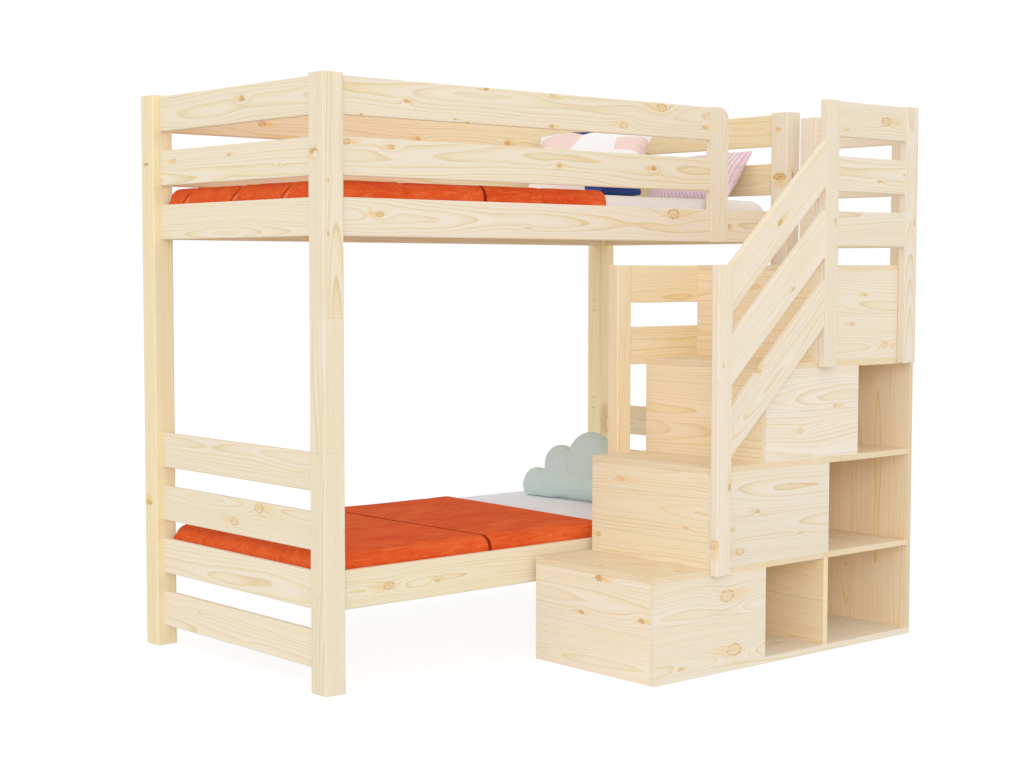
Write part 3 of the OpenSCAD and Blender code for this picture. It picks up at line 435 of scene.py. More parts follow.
# each board's tint is painted light and shade, carrying some of the board's own tone too: outer faces are paler, inner
# ones are warmer as painted bounce light off other boards, and posts in shadow are painted brighter
INNER_BOUNCE_LIGHT = (1.00, 0.93, 0.76)
PAINTED_LIGHT_TINT = {
    "lower_front_side_rail": (1.0, 1.0, 0.91),
    "post_front_left_lower": (1.0, 1.0, 0.93), "post_front_left_upper": (1.0, 1.0, 0.93),
    "post_back_left_lower": (1.08, 1.04, 0.775), "post_back_left_upper": (1.08, 1.04, 0.775),
    "post_back_right_lower": (1.16, 1.10, 0.79), "post_back_right_upper": (1.16, 1.10, 0.79),
    "upper_left_end_rails": (1.0, 1.0, 0.92), "lower_left_end_rails": (1.05, 1.04, 0.97), "upper_front_guard_rails": (1.0, 1.0, 0.95),
    "upper_back_guard_rails": (1.03, 0.96, 0.72), "upper_back_side_rail": INNER_BOUNCE_LIGHT, "lower_back_side_rail": INNER_BOUNCE_LIGHT,
    "upper_right_end_rails": (1.02, 0.93, 0.65), "lower_right_end_rails": INNER_BOUNCE_LIGHT, "slat_cleats": INNER_BOUNCE_LIGHT, "bed_slats": INNER_BOUNCE_LIGHT,
    "back_newel": (1.06, 0.97, 0.76), "back_guard_rails": (1.06, 0.99, 0.77),
    "riser_first": (1.10, 1.07, 1.04), "riser_second": (1.04, 1.01, 0.85), "riser_third": (1.09, 1.0, 0.80), "riser_fourth": (1.09, 1.0, 0.80),
    "front_panel_third": (1.02, 1.02, 1.04), "stair_back_panels": (1.17, 0.97, 0.66), "stair_partitions": (1.12, 1.0, 0.76),
    "stair_side_panel": (1.12, 1.0, 0.80), "tread_first": (0.98, 0.89, 0.71), "tread_second": (0.98, 0.89, 0.71),
    "tread_third": (0.98, 0.89, 0.71), "platform_board": INNER_BOUNCE_LIGHT,
}
for name, how in WOOD.items():
    paint(name, pine("pine_" + name, tint=PAINTED_LIGHT_TINT.get(name, (1.0, 1.0, 1.0)), **how))

# ------------------------------------------------------------------ steel


def steel(name, seed, lo=(176, 178, 182), hi=(206, 206, 202)):
    g = Net(name)
    n = g.noise(g.v("ADD", g.v("MULTIPLY", g.coord, (90, 90, 900)), (seed, seed, seed)), 1.0, 3.0, 0.6)
    spots = g.noise(g.coord, 60.0 + seed, 3.0, 0.6)
    g.put(g.bsdf.inputs["Base Color"], g.mix(g.remap(spots, 0.35, 0.7), srgb(*lo), srgb(*hi)))
    g.bsdf.inputs["Metallic"].default_value = 1.0
    g.put(g.bsdf.inputs["Roughness"], g.m("ADD", 0.26, g.m("MULTIPLY", n, 0.16)))
    g.put(g.bsdf.inputs["Normal"], g.bump(n, 0.2, 0.0001))
    return g.mat


for i, name in enumerate(("post_pins", "post_lock_screws", "rail_bolts", "rail_barrel_nuts", "stair_brackets", "wood_screws")):
    if name == "post_lock_screws":
        paint(name, steel("browned_" + name, i, (104, 84, 66), (128, 106, 84)))
    else:
        paint(name, steel("zinc_" + name, i))

# ------------------------------------------------------------------ cloth materials


def velvet(name, seed=0.0, ends=(), tucks=(), low=(216, 72, 31), high=(230, 98, 50)):
    """Orange-red pile with long brushed streaks. ends are the sewn ends, drawn as a dark line of painted shade where
    two covers meet: x and skew in metres. tucks are the short folds across the foot end, in metres along y, each drawn
    with a painted shade line and a painted highlight beside it."""
    g = Net(name)
    p = g.v("ADD", g.coord, (seed, seed * 0.7, 0))
    nap = g.noise(g.v("MULTIPLY", p, (5.0, 12.0, 12.0)), 1.0, 4.0, 0.62, 0.6)
    brush = g.noise(g.v("MULTIPLY", p, (14.0, 110.0, 110.0)), 1.0, 4.0, 0.70, 0.5)
    fleck = g.noise(g.v("MULTIPLY", p, (130.0, 380.0, 380.0)), 1.0, 3.0, 0.70)
    pile = g.noise(p, 520.0, 3.0, 0.75)
    col = g.mix(g.remap(nap, 0.32, 0.68), srgb(*low), srgb(*high))
    col = g.mix(g.m("MULTIPLY", g.remap(brush, 0.50, 0.70), 0.50), col, srgb(243, 132, 74))
    col = g.mix(g.m("MULTIPLY", g.remap(brush, 0.47, 0.30), 0.45), col, srgb(196, 46, 12))
    col = g.mix(g.m("MULTIPLY", g.remap(fleck, 0.52, 0.70), 0.34), col, srgb(245, 140, 88))
    col = g.mix(g.m("MULTIPLY", g.remap(fleck, 0.46, 0.33), 0.26), col, srgb(196, 46, 14))
    col = g.mix(g.m("MULTIPLY", g.remap(pile, 0.48, 0.72), 0.30), col, srgb(246, 140, 82))
    # a few pale tufts of lint
    vo = g.t.nodes.new("ShaderNodeTexVoronoi")
    vo.inputs["Scale"].default_value = 26.0
    g.put(vo.inputs["Vector"], p)
    pick = g.sep(vo.outputs["Color"])
    tuft = g.m("MULTIPLY", g.remap(vo.outputs["Distance"], 0.03, 0.075, 1.0, 0.0), g.m("LESS_THAN", pick[0], 0.10))
    col = g.mix(g.m("MULTIPLY", tuft, 0.75), col, srgb(246, 204, 176))
    ax = g.sep(g.coord)
    # a dark line at each sewn end: painted shade in the gap where two covers meet
    for at, skew in ends:
        d = g.m("ABSOLUTE", g.m("SUBTRACT", g.m("SUBTRACT", ax[0], at), g.m("MULTIPLY", g.m("SUBTRACT", ax[1], 0.255), skew)))
        col = g.mix(g.m("MULTIPLY", g.remap(d, 0.0035, 0.0075, 1.0, 0.0), 0.85), col, srgb(132, 22, 4))
    foot = g.remap(ax[0], 0.086 - OX, 0.118 - OX, 1.0, 0.0)
    # each tuck is a painted shade line along the fold with a painted highlight on its ridge beside it
    for at in tucks:
        d = g.m("ADD", g.m("SUBTRACT", ax[1], at), g.m("MULTIPLY", g.m("SUBTRACT", ax[2], 1.412), 0.7))
        d = g.m("ADD", d, g.m("MULTIPLY", g.m("SUBTRACT", fleck, 0.5), 0.006))
        line = g.m("MULTIPLY", g.remap(g.m("ABSOLUTE", d), 0.0020, 0.0060, 1.0, 0.0), foot)
        painted_crest_light = g.m("MULTIPLY", g.remap(g.m("ABSOLUTE", g.m("ADD", d, 0.0120)), 0.0020, 0.0100, 1.0, 0.0), foot)
        col = g.mix(g.m("MULTIPLY", painted_crest_light, 0.45), col, srgb(250, 150, 96))
        col = g.mix(g.m("MULTIPLY", line, 0.68), col, srgb(150, 30, 8))
    g.put(g.bsdf.inputs["Base Color"], col)
    g.bsdf.inputs["Roughness"].default_value = 0.95
    g.bsdf.inputs["Specular IOR Level"].default_value = 0.03
    g.bsdf.inputs["Sheen Weight"].default_value = 0.12
    g.bsdf.inputs["Sheen Roughness"].default_value = 0.45
    g.bsdf.inputs["Sheen Tint"].default_value = srgb(250, 130, 70)
    h = g.m("ADD", g.m("MULTIPLY", pile, 0.6), g.m("ADD", g.m("MULTIPLY", brush, 0.7), g.m("MULTIPLY", fleck, 0.5)))
    g.put(g.bsdf.inputs["Normal"], g.bump(h, 0.55, 0.0016))
    return g.mat


def weave(name, base, shade, pitch=0.0016, rough=0.85):
    """Plain woven cotton, threads along the row's axes."""
    g = Net(name)
    x, y, z = g.sep(g.coord)
    k = 2 * math.pi / pitch
    a = g.m("SINE", g.m("MULTIPLY", g.m("ADD", x, g.m("MULTIPLY", z, 0.5)), k))
    b = g.m("SINE", g.m("MULTIPLY", g.m("ADD", y, g.m("MULTIPLY", z, 0.5)), k))
    w = g.m("MULTIPLY", a, b)
    slow = g.noise(g.coord, 9.0, 3.0, 0.55)
    fine = g.noise(g.coord, 700.0, 2.0, 0.6)
    col = g.mix(g.remap(slow, 0.3, 0.75), base, shade)
    col = g.mix(g.m("MULTIPLY", g.remap(fine, 0.4, 0.7), 0.25), col, shade)
    g.put(g.bsdf.inputs["Base Color"], col)
    g.bsdf.inputs["Roughness"].default_value = rough
    g.bsdf.inputs["Specular IOR Level"].default_value = 0.2
    g.bsdf.inputs["Sheen Weight"].default_value = 0.1
    g.put(g.bsdf.inputs["Normal"], g.bump(g.m("ADD", g.m("MULTIPLY", w, 0.5), fine), 0.35, 0.0004))
    return g.mat


def facets(name):
    """Cotton printed with large straight-edged facets in navy, pink and white, a layout of its own."""
    g = Net(name)
    x, y, z = g.sep(g.coord)
    flat = g.comb(g.m("ADD", g.m("MULTIPLY", x, 7.4), 14.30), g.m("ADD", g.m("MULTIPLY", y, 8.6), 12.90), 0.0)
    vo = g.t.nodes.new("ShaderNodeTexVoronoi")
    vo.voronoi_dimensions = "2D"
    vo.inputs["Scale"].default_value = 1.0
    vo.inputs["Randomness"].default_value = 0.95
    g.put(vo.inputs["Vector"], flat)
    pick = g.sep(vo.outputs["Color"])
    ramp = g.t.nodes.new("ShaderNodeValToRGB")
    ramp.color_ramp.interpolation = "CONSTANT"
    cols = [(0.0, srgb(22, 58, 118)), (0.22, srgb(246, 243, 241)), (0.50, srgb(242, 214, 204)), (0.74, srgb(247, 231, 224)), (0.90, srgb(34, 80, 150))]
    e = ramp.color_ramp.elements
    e[0].position, e[0].color = cols[0]
    e[1].position, e[1].color = cols[1]
    for pos, c in cols[2:]:
        n = e.new(pos)
        n.color = c
    g.put(ramp.inputs[0], pick[0])
    fine = g.noise(g.coord, 650.0, 2.0, 0.6)
    slow = g.noise(g.coord, 14.0, 3.0, 0.6)
    k = 2 * math.pi / 0.0018
    w = g.m("MULTIPLY", g.m("SINE", g.m("MULTIPLY", x, k)), g.m("SINE", g.m("MULTIPLY", y, k)))
    tone = g.m("ADD", g.m("ADD", 0.93, g.m("MULTIPLY", fine, 0.08)), g.m("MULTIPLY", slow, 0.05))
    g.put(g.bsdf.inputs["Base Color"], g.mix(1.0, ramp.outputs[0], g.grey(tone), "MULTIPLY"))
    g.bsdf.inputs["Roughness"].default_value = 0.85
    g.bsdf.inputs["Specular IOR Level"].default_value = 0.2
    g.put(g.bsdf.inputs["Normal"], g.bump(g.m("ADD", g.m("MULTIPLY", w, 0.5), fine), 0.35, 0.0004))
    return g.mat


RIB = 0.0170


def ribbed(name):
    """Dusty pink cloth with ribs that run up the pillow, and lilac-grey grooves between them that are painted shade."""
    g = Net(name)
    flat = g.t.nodes.new("ShaderNodeAttribute")         # the cloth as it was cut, so that the ribs go with it
    flat.attribute_name = "flat"
    x = g.sep(flat.outputs["Vector"])[0]
    wave = g.m("ABSOLUTE", g.m("SINE", g.m("MULTIPLY", x, math.pi / RIB)))
    fine = g.noise(g.coord, 520.0, 3.0, 0.65)
    slow = g.noise(g.coord, 12.0, 3.0, 0.6)
    # lilac-grey in the grooves, light pink on the ribs: painted shade between the ribs
    col = g.mix(g.remap(wave, 0.15, 0.75), srgb(203, 176, 190), srgb(238, 212, 220))
    col = g.mix(g.m("MULTIPLY", g.remap(fine, 0.42, 0.72), 0.45), col, srgb(246, 228, 232))
    col = g.mix(g.m("MULTIPLY", g.remap(slow, 0.5, 0.75), 0.25), col, srgb(224, 192, 204))
    g.put(g.bsdf.inputs["Base Color"], col)
    g.bsdf.inputs["Roughness"].default_value = 0.9
    g.bsdf.inputs["Specular IOR Level"].default_value = 0.12
    g.bsdf.inputs["Sheen Weight"].default_value = 0.2
    g.put(g.bsdf.inputs["Normal"], g.bump(fine, 0.5, 0.001))
    return g.mat


def knit(name):
    """Sage-green fine rib knit."""
    g = Net(name)
    x, y, z = g.sep(g.coord)
    d = g.m("ADD", g.m("MULTIPLY", y, 0.80), g.m("MULTIPLY", z, 0.60))
    e = g.m("SUBTRACT", g.m("MULTIPLY", z, 0.80), g.m("MULTIPLY", y, 0.60))
    rib = g.m("SINE", g.m("MULTIPLY", g.m("ADD", d, g.m("MULTIPLY", x, 0.22)), 2 * math.pi / 0.0066))
    stitch = g.m("SINE", g.m("MULTIPLY", g.m("ADD", e, g.m("MULTIPLY", x, 0.22)), 2 * math.pi / 0.0046))
    h = g.m("ADD", g.m("MULTIPLY", rib, 0.38), g.m("MULTIPLY", g.m("MULTIPLY", stitch, rib), 0.60))
    # round the rim the ribs run on along it
    out = g.t.nodes.new("ShaderNodeTexCoord").outputs["Normal"]
    face = g.remap(g.m("ABSOLUTE", g.sep(out)[0]), 0.22, 0.55)
    round_ = g.m("SINE", g.m("MULTIPLY", x, 2 * math.pi / 0.0066))
    h = g.m("ADD", g.m("MULTIPLY", h, face), g.m("MULTIPLY", g.m("MULTIPLY", round_, 0.6), g.m("SUBTRACT", 1.0, face)))
    fine = g.noise(g.coord, 380.0, 3.0, 0.65)
    slow = g.noise(g.coord, 10.0, 3.0, 0.6)
    # darker where the knit lies low: painted shade in the hollows between ribs and stitches
    col = g.mix(g.remap(h, -0.7, 0.8), srgb(180, 200, 193), srgb(226, 240, 234))
    col = g.mix(g.m("MULTIPLY", g.remap(fine, 0.42, 0.72), 0.35), col, srgb(236, 246, 240))
    col = g.mix(g.m("MULTIPLY", g.remap(slow, 0.45, 0.75), 0.25), col, srgb(202, 222, 217))
    g.put(g.bsdf.inputs["Base Color"], col)
    g.bsdf.inputs["Roughness"].default_value = 0.95
    g.bsdf.inputs["Specular IOR Level"].default_value = 0.08
    g.bsdf.inputs["Sheen Weight"].default_value = 0.15
    g.put(g.bsdf.inputs["Normal"], g.bump(g.m("ADD", h, fine), 0.6, 0.0012))
    return g.mat


# ------------------------------------------------------------------ mesh helpers


def new_mesh(name, verts, faces, mat):
    me = bpy.data.meshes.new(name)
    me.from_pydata([tuple(map(float, v)) for v in verts], [], faces)
    me.validate()
    me.update()
    me.polygons.foreach_set("use_smooth", [True] * len(me.polygons))
    me.materials.append(mat)
    o = bpy.data.objects.new(name, me)
    scene.collection.objects.link(o)
    return o


def coords(o):
    c = np.zeros(len(o.data.vertices) * 3)
    o.data.vertices.foreach_get("co", c)
    return c.reshape(-1, 3)


def set_coords(o, c):
    o.data.vertices.foreach_set("co", np.asarray(c, float).ravel())
    o.data.update()


def bake_modifiers(o):
    """Replaces the mesh with the mesh after its modifiers, and drops them."""
    dg = bpy.context.evaluated_depsgraph_get()
    me = bpy.data.meshes.new_from_object(o.evaluated_get(dg), depsgraph=dg)
    old = o.data
    o.modifiers.clear()
    o.data = me
    bpy.data.meshes.remove(old)
    me.polygons.foreach_set("use_smooth", [True] * len(me.polygons))
    return o


def subdivide(o, levels=1):
    m = o.modifiers.new("smooth", "SUBSURF")
    m.levels = m.render_levels = levels
    return bake_modifiers(o)


def inflate(o, pressure, frames, cap, stiff=15.0, bend=0.5, mass=0.3):
    """Swells a closed mesh like a stuffed cover. No point moves further than cap."""
    rest = coords(o)
    m = o.modifiers.new("cloth", "CLOTH")
    s = m.settings
    s.quality = 8
    s.mass = mass
    s.tension_stiffness = s.compression_stiffness = stiff
    s.shear_stiffness = 5
    s.bending_stiffness = bend
    s.tension_damping = s.compression_damping = s.shear_damping = 5
    s.bending_damping = 0.5
    s.air_damping = 2
    s.use_pressure = True
    s.uniform_pressure_force = pressure
    s.effector_weights.gravity = 0
    m.point_cache.frame_start = 1
    m.point_cache.frame_end = frames
    for f in range(1, frames + 1):
        scene.frame_set(f)
    dg = bpy.context.evaluated_depsgraph_get()
    ev = o.evaluated_get(dg).data
    c = np.zeros(len(ev.vertices) * 3)
    ev.vertices.foreach_get("co", c)
    c = c.reshape(-1, 3)
    o.modifiers.clear()
    scene.frame_set(1)
    d = c - rest
    length = np.linalg.norm(d, axis=1, keepdims=True)
    set_coords(o, rest + d * np.minimum(1.0, cap / np.maximum(length, 1e-9)))
    return o


def grain_noise(c, scale, seed):
    return np.array([noise.noise(Vector((p[0] * scale[0] + seed, p[1] * scale[1] + seed * 0.7, p[2] * scale[2] - seed))) for p in c])


def wrinkle(c, scale, seed):
    """Ridged noise: soft folds that meet in creases."""
    return 1.0 - 2.0 * np.abs(grain_noise(c, scale, seed))


# ------------------------------------------------------------------ mattresses

# the lower mattress's cotton is whiter and bluer than the upper one's: painted light against the warm shade under the
# upper bed
white = weave("white_cotton", srgb(249, 250, 254), srgb(243, 245, 250))
warm_white = weave("warm_white_cotton", srgb(241, 235, 231), srgb(235, 229, 225))


def mattress(name, z0, node, seed, cloth):
    """Crowned on both faces, its edges rounded far in, with a sewn line round the middle."""
    x0, x1, y0, y1 = 58.0, 1881.0, 56.0, 924.0
    h = 109.6
    b = h / 2
    ax, ay = 84.0, 16.0
    ang = np.linspace(0, math.pi / 2, 9)

    def line(lo, hi, a, n):
        first = [lo + a * (1 - math.cos(t)) for t in ang]
        middle = list(np.linspace(lo + a, hi - a, n))[1:-1]
        last = [hi - a * (1 - math.cos(t)) for t in ang[::-1]]
        return first + middle + last
    xs, ys = line(x0, x1, ax, 90), line(y0, y1, ay, 44)
    top, bottom, verts, faces = {}, {}, [], []
    for j, y in enumerate(ys):
        for i, x in enumerate(xs):
            dx = max(0.0, x0 + ax - x, x - x1 + ax) / ax
            dy = max(0.0, y0 + ay - y, y - y1 + ay) / ay
            px, py = x, y
            d = math.hypot(dx, dy)
            if d > 1:                                # plan corners are drawn in onto the ellipse
                k = 1 / d
                px = x if dx == 0 else (x0 + ax - dx * k * ax if x < 900 else x1 - ax + dx * k * ax)
                py = y if dy == 0 else (y0 + ay - dy * k * ay if y < 480 else y1 - ay + dy * k * ay)
                d = 1.0
            z = b * math.sqrt(max(0.0, 1 - d * d))
            edge = i in (0, len(xs) - 1) or j in (0, len(ys) - 1)
            n = noise.noise(Vector((px / 190, py / 160, seed))) * 1.2 + noise.noise(Vector((px / 60, py / 60, seed + 3))) * 0.5
            top[i, j] = len(verts)
            dip = 9.0 * math.exp(-((px - 620) / 24) ** 2)          # pressed where two covers meet
            verts.append(mm(px, py, z0 + b + (0 if edge else z + (n - 1.3 - dip) * min(1.0, z / b))))
            if edge:
                bottom[i, j] = top[i, j]
            else:
                bottom[i, j] = len(verts)
                verts.append(mm(px, py, z0 + b - z))
    for j in range(len(ys) - 1):
        for i in range(len(xs) - 1):
            faces.append((top[i, j], top[i + 1, j], top[i + 1, j + 1], top[i, j + 1]))
            faces.append((bottom[i, j], bottom[i, j + 1], bottom[i + 1, j + 1], bottom[i + 1, j]))
    o = new_mesh(name, verts, faces, cloth)
    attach(o, "root")
    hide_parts(node)
    return o


mattress("upper_bed_mattress", 1302.2, "upper_mattress", 1.0, warm_white)
mattress("lower_bed_mattress", 258.2, "lower_mattress", 7.0, white)

# ------------------------------------------------------------------ covers


def cover(name, x0, x1, deck, drop, left_flap, mat, seed, dents=(), k0=0.0, k1=0.0, rx=66.0):
    """A padded cover over the mattress: top, side flaps, and at the foot end a flap between the posts."""
    y0, y1 = 48.0, 932.0
    zt = deck + 110 + 14.6
    zb = deck + 110 - drop
    rn, rf, rz = 40.0, 58.0, 42.0
    ang = np.linspace(0, math.pi / 2, 8)
    ys = [y0 + rn * (1 - math.cos(t)) for t in ang] + list(np.linspace(y0 + rn, y1 - rf, 74))[1:-1] + [y1 - rf * (1 - math.cos(t)) for t in ang[::-1]]
    end = 6.0
    tail = [0.3, 0.9, 1.9, 3.3, end]
    if left_flap:
        xs = [x0 + rx * (1 - math.cos(t)) for t in ang]
        start = x0 + rx
    else:
        xs = [x0 + t for t in [0.0] + tail]
        start = x0 + end
    stop = x1 - end
    xs = xs + list(np.linspace(start, stop, max(6, int((stop - start) / 11))))[1:-1] + [x1 - t for t in tail[::-1]] + [x1]
    nx, ny = len(xs), len(ys)

    def inset(x):
        """How far the face draws in near a sewn end."""
        d = x1 - x
        if not left_flap:
            d = min(d, x - x0)
        d = max(0.0, min(d, end))
        return 7.0 * (1 - math.sqrt(max(0.0, 1 - (1 - d / end) ** 2)))

    flap = [8.0, 18.0, 30.0, zt - rz - zb]
    outer, normal = {}, {}
    for i, x in enumerate(xs):
        dx = max(0.0, x0 + rx - x) / rx if left_flap else 0.0
        for j, y in enumerate(ys):
            dy = max((y0 + rn - y) / rn, (y - y1 + rf) / rf, 0.0)
            sy_ = -1.0 if y < 480 else 1.0
            d = min(1.0, math.hypot(dx, dy))
            zz = math.sqrt(1 - d * d)
            n = Vector((-dx, sy_ * dy, zz + 1e-6)).normalized()
            outer[i, j] = Vector((x, y, zt - rz + rz * zz))
            normal[i, j] = n
        for k, f in enumerate(flap):
            for side, y in ((-1, y0), (1, y1)):
                j = -1 - k if side < 0 else ny + k
                outer[i, j] = Vector((x, y, zt - rz - f))
                normal[i, j] = Vector((0, side, 0))
    if left_flap:
        for j, y in enumerate(ys):
            for k, f in enumerate(flap):
                outer[-1 - k, j] = Vector((x0, y, zt - rz - f))
                normal[-1 - k, j] = Vector((-1, 0, 0))
    # faces of the sheet, without the corners where the posts stand
    quads = []
    for i in range(-len(flap) if left_flap else 0, nx - 1):
        for j in range(-len(flap), ny - 1 + len(flap)):
            ks = [(i, j), (i + 1, j), (i + 1, j + 1), (i, j + 1)]
            if any(k not in outer for k in ks):
                continue
            if left_flap:
                cx = sum(outer[k].x for k in ks) / 4
                cyy = sum(outer[k].y for k in ks) / 4
                if cx < 76 and (cyy < 78 or cyy > 902):
                    continue
            quads.append(ks)
    used = sorted({k for q in quads for k in q})
    number = {k: n for n, k in enumerate(used)}
    base = np.array([outer[k] for k in used])
    nor = np.array([normal[k] for k in used])
    ins = np.array([inset(outer[k].x) for k in used])
    # padding: slow swells, fine folds, and sewn dents across the edges
    puff = grain_noise(base, (1 / 170, 1 / 150, 1 / 110), seed) * 1.2 + grain_noise(base, (1 / 46, 1 / 42, 1 / 40), seed + 5) * 0.45
    fold = np.clip(wrinkle(base, (1 / 150, 1 / 90, 1 / 80), seed + 9) - 0.6, 0, 1) * 1.0
    crown = np.clip(np.minimum(x1 - base[:, 0], base[:, 0] - x0 + (200 if left_flap else 0)) / 90, 0, 1)
    lift = (puff + fold - 1.5) * (0.35 + 0.65 * crown)
    edge = np.clip(1 - np.minimum(np.abs(base[:, 1] - y0), np.abs(y1 - base[:, 1])) / 70, 0, 1)
    if left_flap:
        edge = np.maximum(edge, np.clip(1 - np.abs(base[:, 0] - x0) / 70, 0, 1))
    for kind, at in dents:
        along = base[:, 0] if kind == "x" else base[:, 1]
        lift -= 11.5 * np.exp(-((along - at) / 8.0) ** 2) * edge
        lift += 2.6 * np.exp(-((along - at + 24) / 14.0) ** 2) * edge
    limit = np.minimum(lift, 0.0)
    out = base + nor * (limit - ins)[:, None]
    inner = base - np.abs(nor) * np.sign(nor) * np.array([7.0, 7.0, 14.0])
    for part in (out, inner):                       # the ends run a little askew
        s_ = np.clip((part[:, 0] - x0) / (x1 - x0), 0, 1)
        part[:, 0] += ((1 - s_) * k0 + s_ * k1) * (part[:, 1] - 480)
    verts = [mm(*p) for p in out] + [mm(*p) for p in inner]
    n = len(used)
    faces = []
    count = {}
    for q in quads:
        a = [number[k] for k in q]
        faces.append(tuple(a))
        faces.append(tuple(n + v for v in a[::-1]))
        for s in range(4):
            e = (a[s], a[(s + 1) % 4])
            count[e] = count.get(e, 0) + 1
    for (a, b_) in list(count):
        if (b_, a) not in count:
            faces.append((b_, a, n + a, n + b_))
    o = new_mesh(name, verts, faces, mat)
    subdivide(o, 1)
    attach(o, "root")
    return o


left_dents = [("y", y) for y in (252, 518, 787)]
a = cover("upper_cover_foot", 48, 615, 1302, 90, True, velvet("orange_velvet", 0.0, [(0.615 - OX, 0.0)], [y / 1000 - OY for _, y in left_dents]), 2.1, left_dents + [("x", 330)], rx=36.0)
b = cover("upper_cover_head", 617.2, 1113, 1302, 90, False, velvet("orange_velvet_b", 3.3, [(0.6172 - OX, 0.0)]), 4.7, [("x", 860)])
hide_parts("upper_covers")
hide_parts("upper_covers")
# the lower covers have a lighter base than the upper ones: painted light against the shade under the upper bed
a = cover("lower_cover_foot", 50, 621.5, 258, 80, True, velvet("orange_velvet_c", 5.9, [(0.6215 - OX, -0.029)], (), (220, 79, 36), (234, 105, 55)), 11.3, [], 0.0, -0.029)
b = cover("lower_cover_head", 623.9, 1129, 258, 80, False, velvet("orange_velvet_d", 8.1, [(0.6239 - OX, -0.029)], (), (220, 79, 36), (234, 105, 55)), 15.9, [], -0.029, 0.040)
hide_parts("lower_covers")
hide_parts("lower_covers")

# ------------------------------------------------------------------ pillows


def pillow_blank(name, w, h, nu, nv, mat, t0=0.003, t1=0.015):
    """Two sheets sewn together round the edge, nearly flat."""
    verts, faces, top, bot = [], [], {}, {}
    for j in range(nv + 1):
        for i in range(nu + 1):
            u = 2 * i / nu - 1
            v = 2 * j / nv - 1
            p = (1 - u * u) * (1 - v * v)
            e = i in (0, nu) or j in (0, nv)
            top[i, j] = len(verts)
            verts.append((u * w / 2, v * h / 2, 0 if e else t0 + t1 * p))
            if e:
                bot[i, j] = top[i, j]
            else:
                bot[i, j] = len(verts)
                verts.append((u * w / 2, v * h / 2, -t0 - t1 * p))
    for j in range(nv):
        for i in range(nu):
            faces.append((top[i, j], top[i + 1, j], top[i + 1, j + 1], top[i, j + 1]))
            faces.append((bot[i, j], bot[i, j + 1], bot[i + 1, j + 1], bot[i + 1, j]))
    o = new_mesh(name, verts, faces, mat)
    o.data.attributes.new("flat", "FLOAT_VECTOR", "POINT").data.foreach_set("vector", [c for v in verts for c in v])
    return o


def settle(o, place, floor, walls=()):
    """Puts a pillow in place and presses it flat where it would sink into what carries it."""
    c = coords(o)
    m = np.array(place)
    w = c @ m[:3, :3].T + m[:3, 3]

    def soft(d, k=0.006):
        return np.where(d > k, d, np.where(d < -k, 0.0, (d + k) ** 2 / (4 * k)))
    w[:, 2] = floor + soft(w[:, 2] - floor)
    for axis, at, sign in walls:
        w[:, axis] = at - sign * soft(sign * (at - w[:, axis]))
    inv = np.linalg.inv(m)
    set_coords(o, w @ inv[:3, :3].T + inv[:3, 3])
    o.matrix_world = place
    return o


def turned(point, *turns):
    m = Matrix.Translation(Vector(mm(*point)))
    for angle, axis in turns:
        m = m @ Matrix.Rotation(math.radians(angle), 4, axis)
    return m


TOP = (1302 + 110) / 1000 + 0.0006

pillow = pillow_blank("patterned_cushion", 0.430, 0.430, 56, 56, facets("printed_cotton"))
inflate(pillow, 4.0, 13, 0.09)
subdivide(pillow, 1)
settle(pillow, turned((1594.5, 639.5, 1546), (-54.4, "Z"), (33.9, "X"), (1.8, "Z")), TOP, [(0, 1.935 - OX - 0.001, 1), (1, 0.935 - OY - 0.001, 1)])
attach(pillow, "root")
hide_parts("patterned_pillow")

rib = pillow_blank("ribbed_cushion", 0.402, 0.236, 72, 42, ribbed("ribbed_pink"))
inflate(rib, 5.0, 13, 0.07)
subdivide(rib, 2)
c = coords(rib)
cut = np.zeros(len(c) * 3)
rib.data.attributes["flat"].data.foreach_get("vector", cut)
lengthwise = np.abs(np.sin(cut[::3] * math.pi / RIB)) ** 0.7
edge = np.clip(np.abs(c[:, 2]) / 0.012, 0, 1)
c[:, 2] += np.sign(c[:, 2]) * (lengthwise - 1.0) * 0.0034 * edge
set_coords(rib, c)
settle(rib, turned((1851, 360, 1496.5), (-90, "Z"), (50, "X"), (2.2, "Z")), TOP, [(0, 1.935 - OX - 0.001, 1)])
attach(rib, "root")
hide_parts("ribbed_pillow")

# ------------------------------------------------------------------ cloud cushion


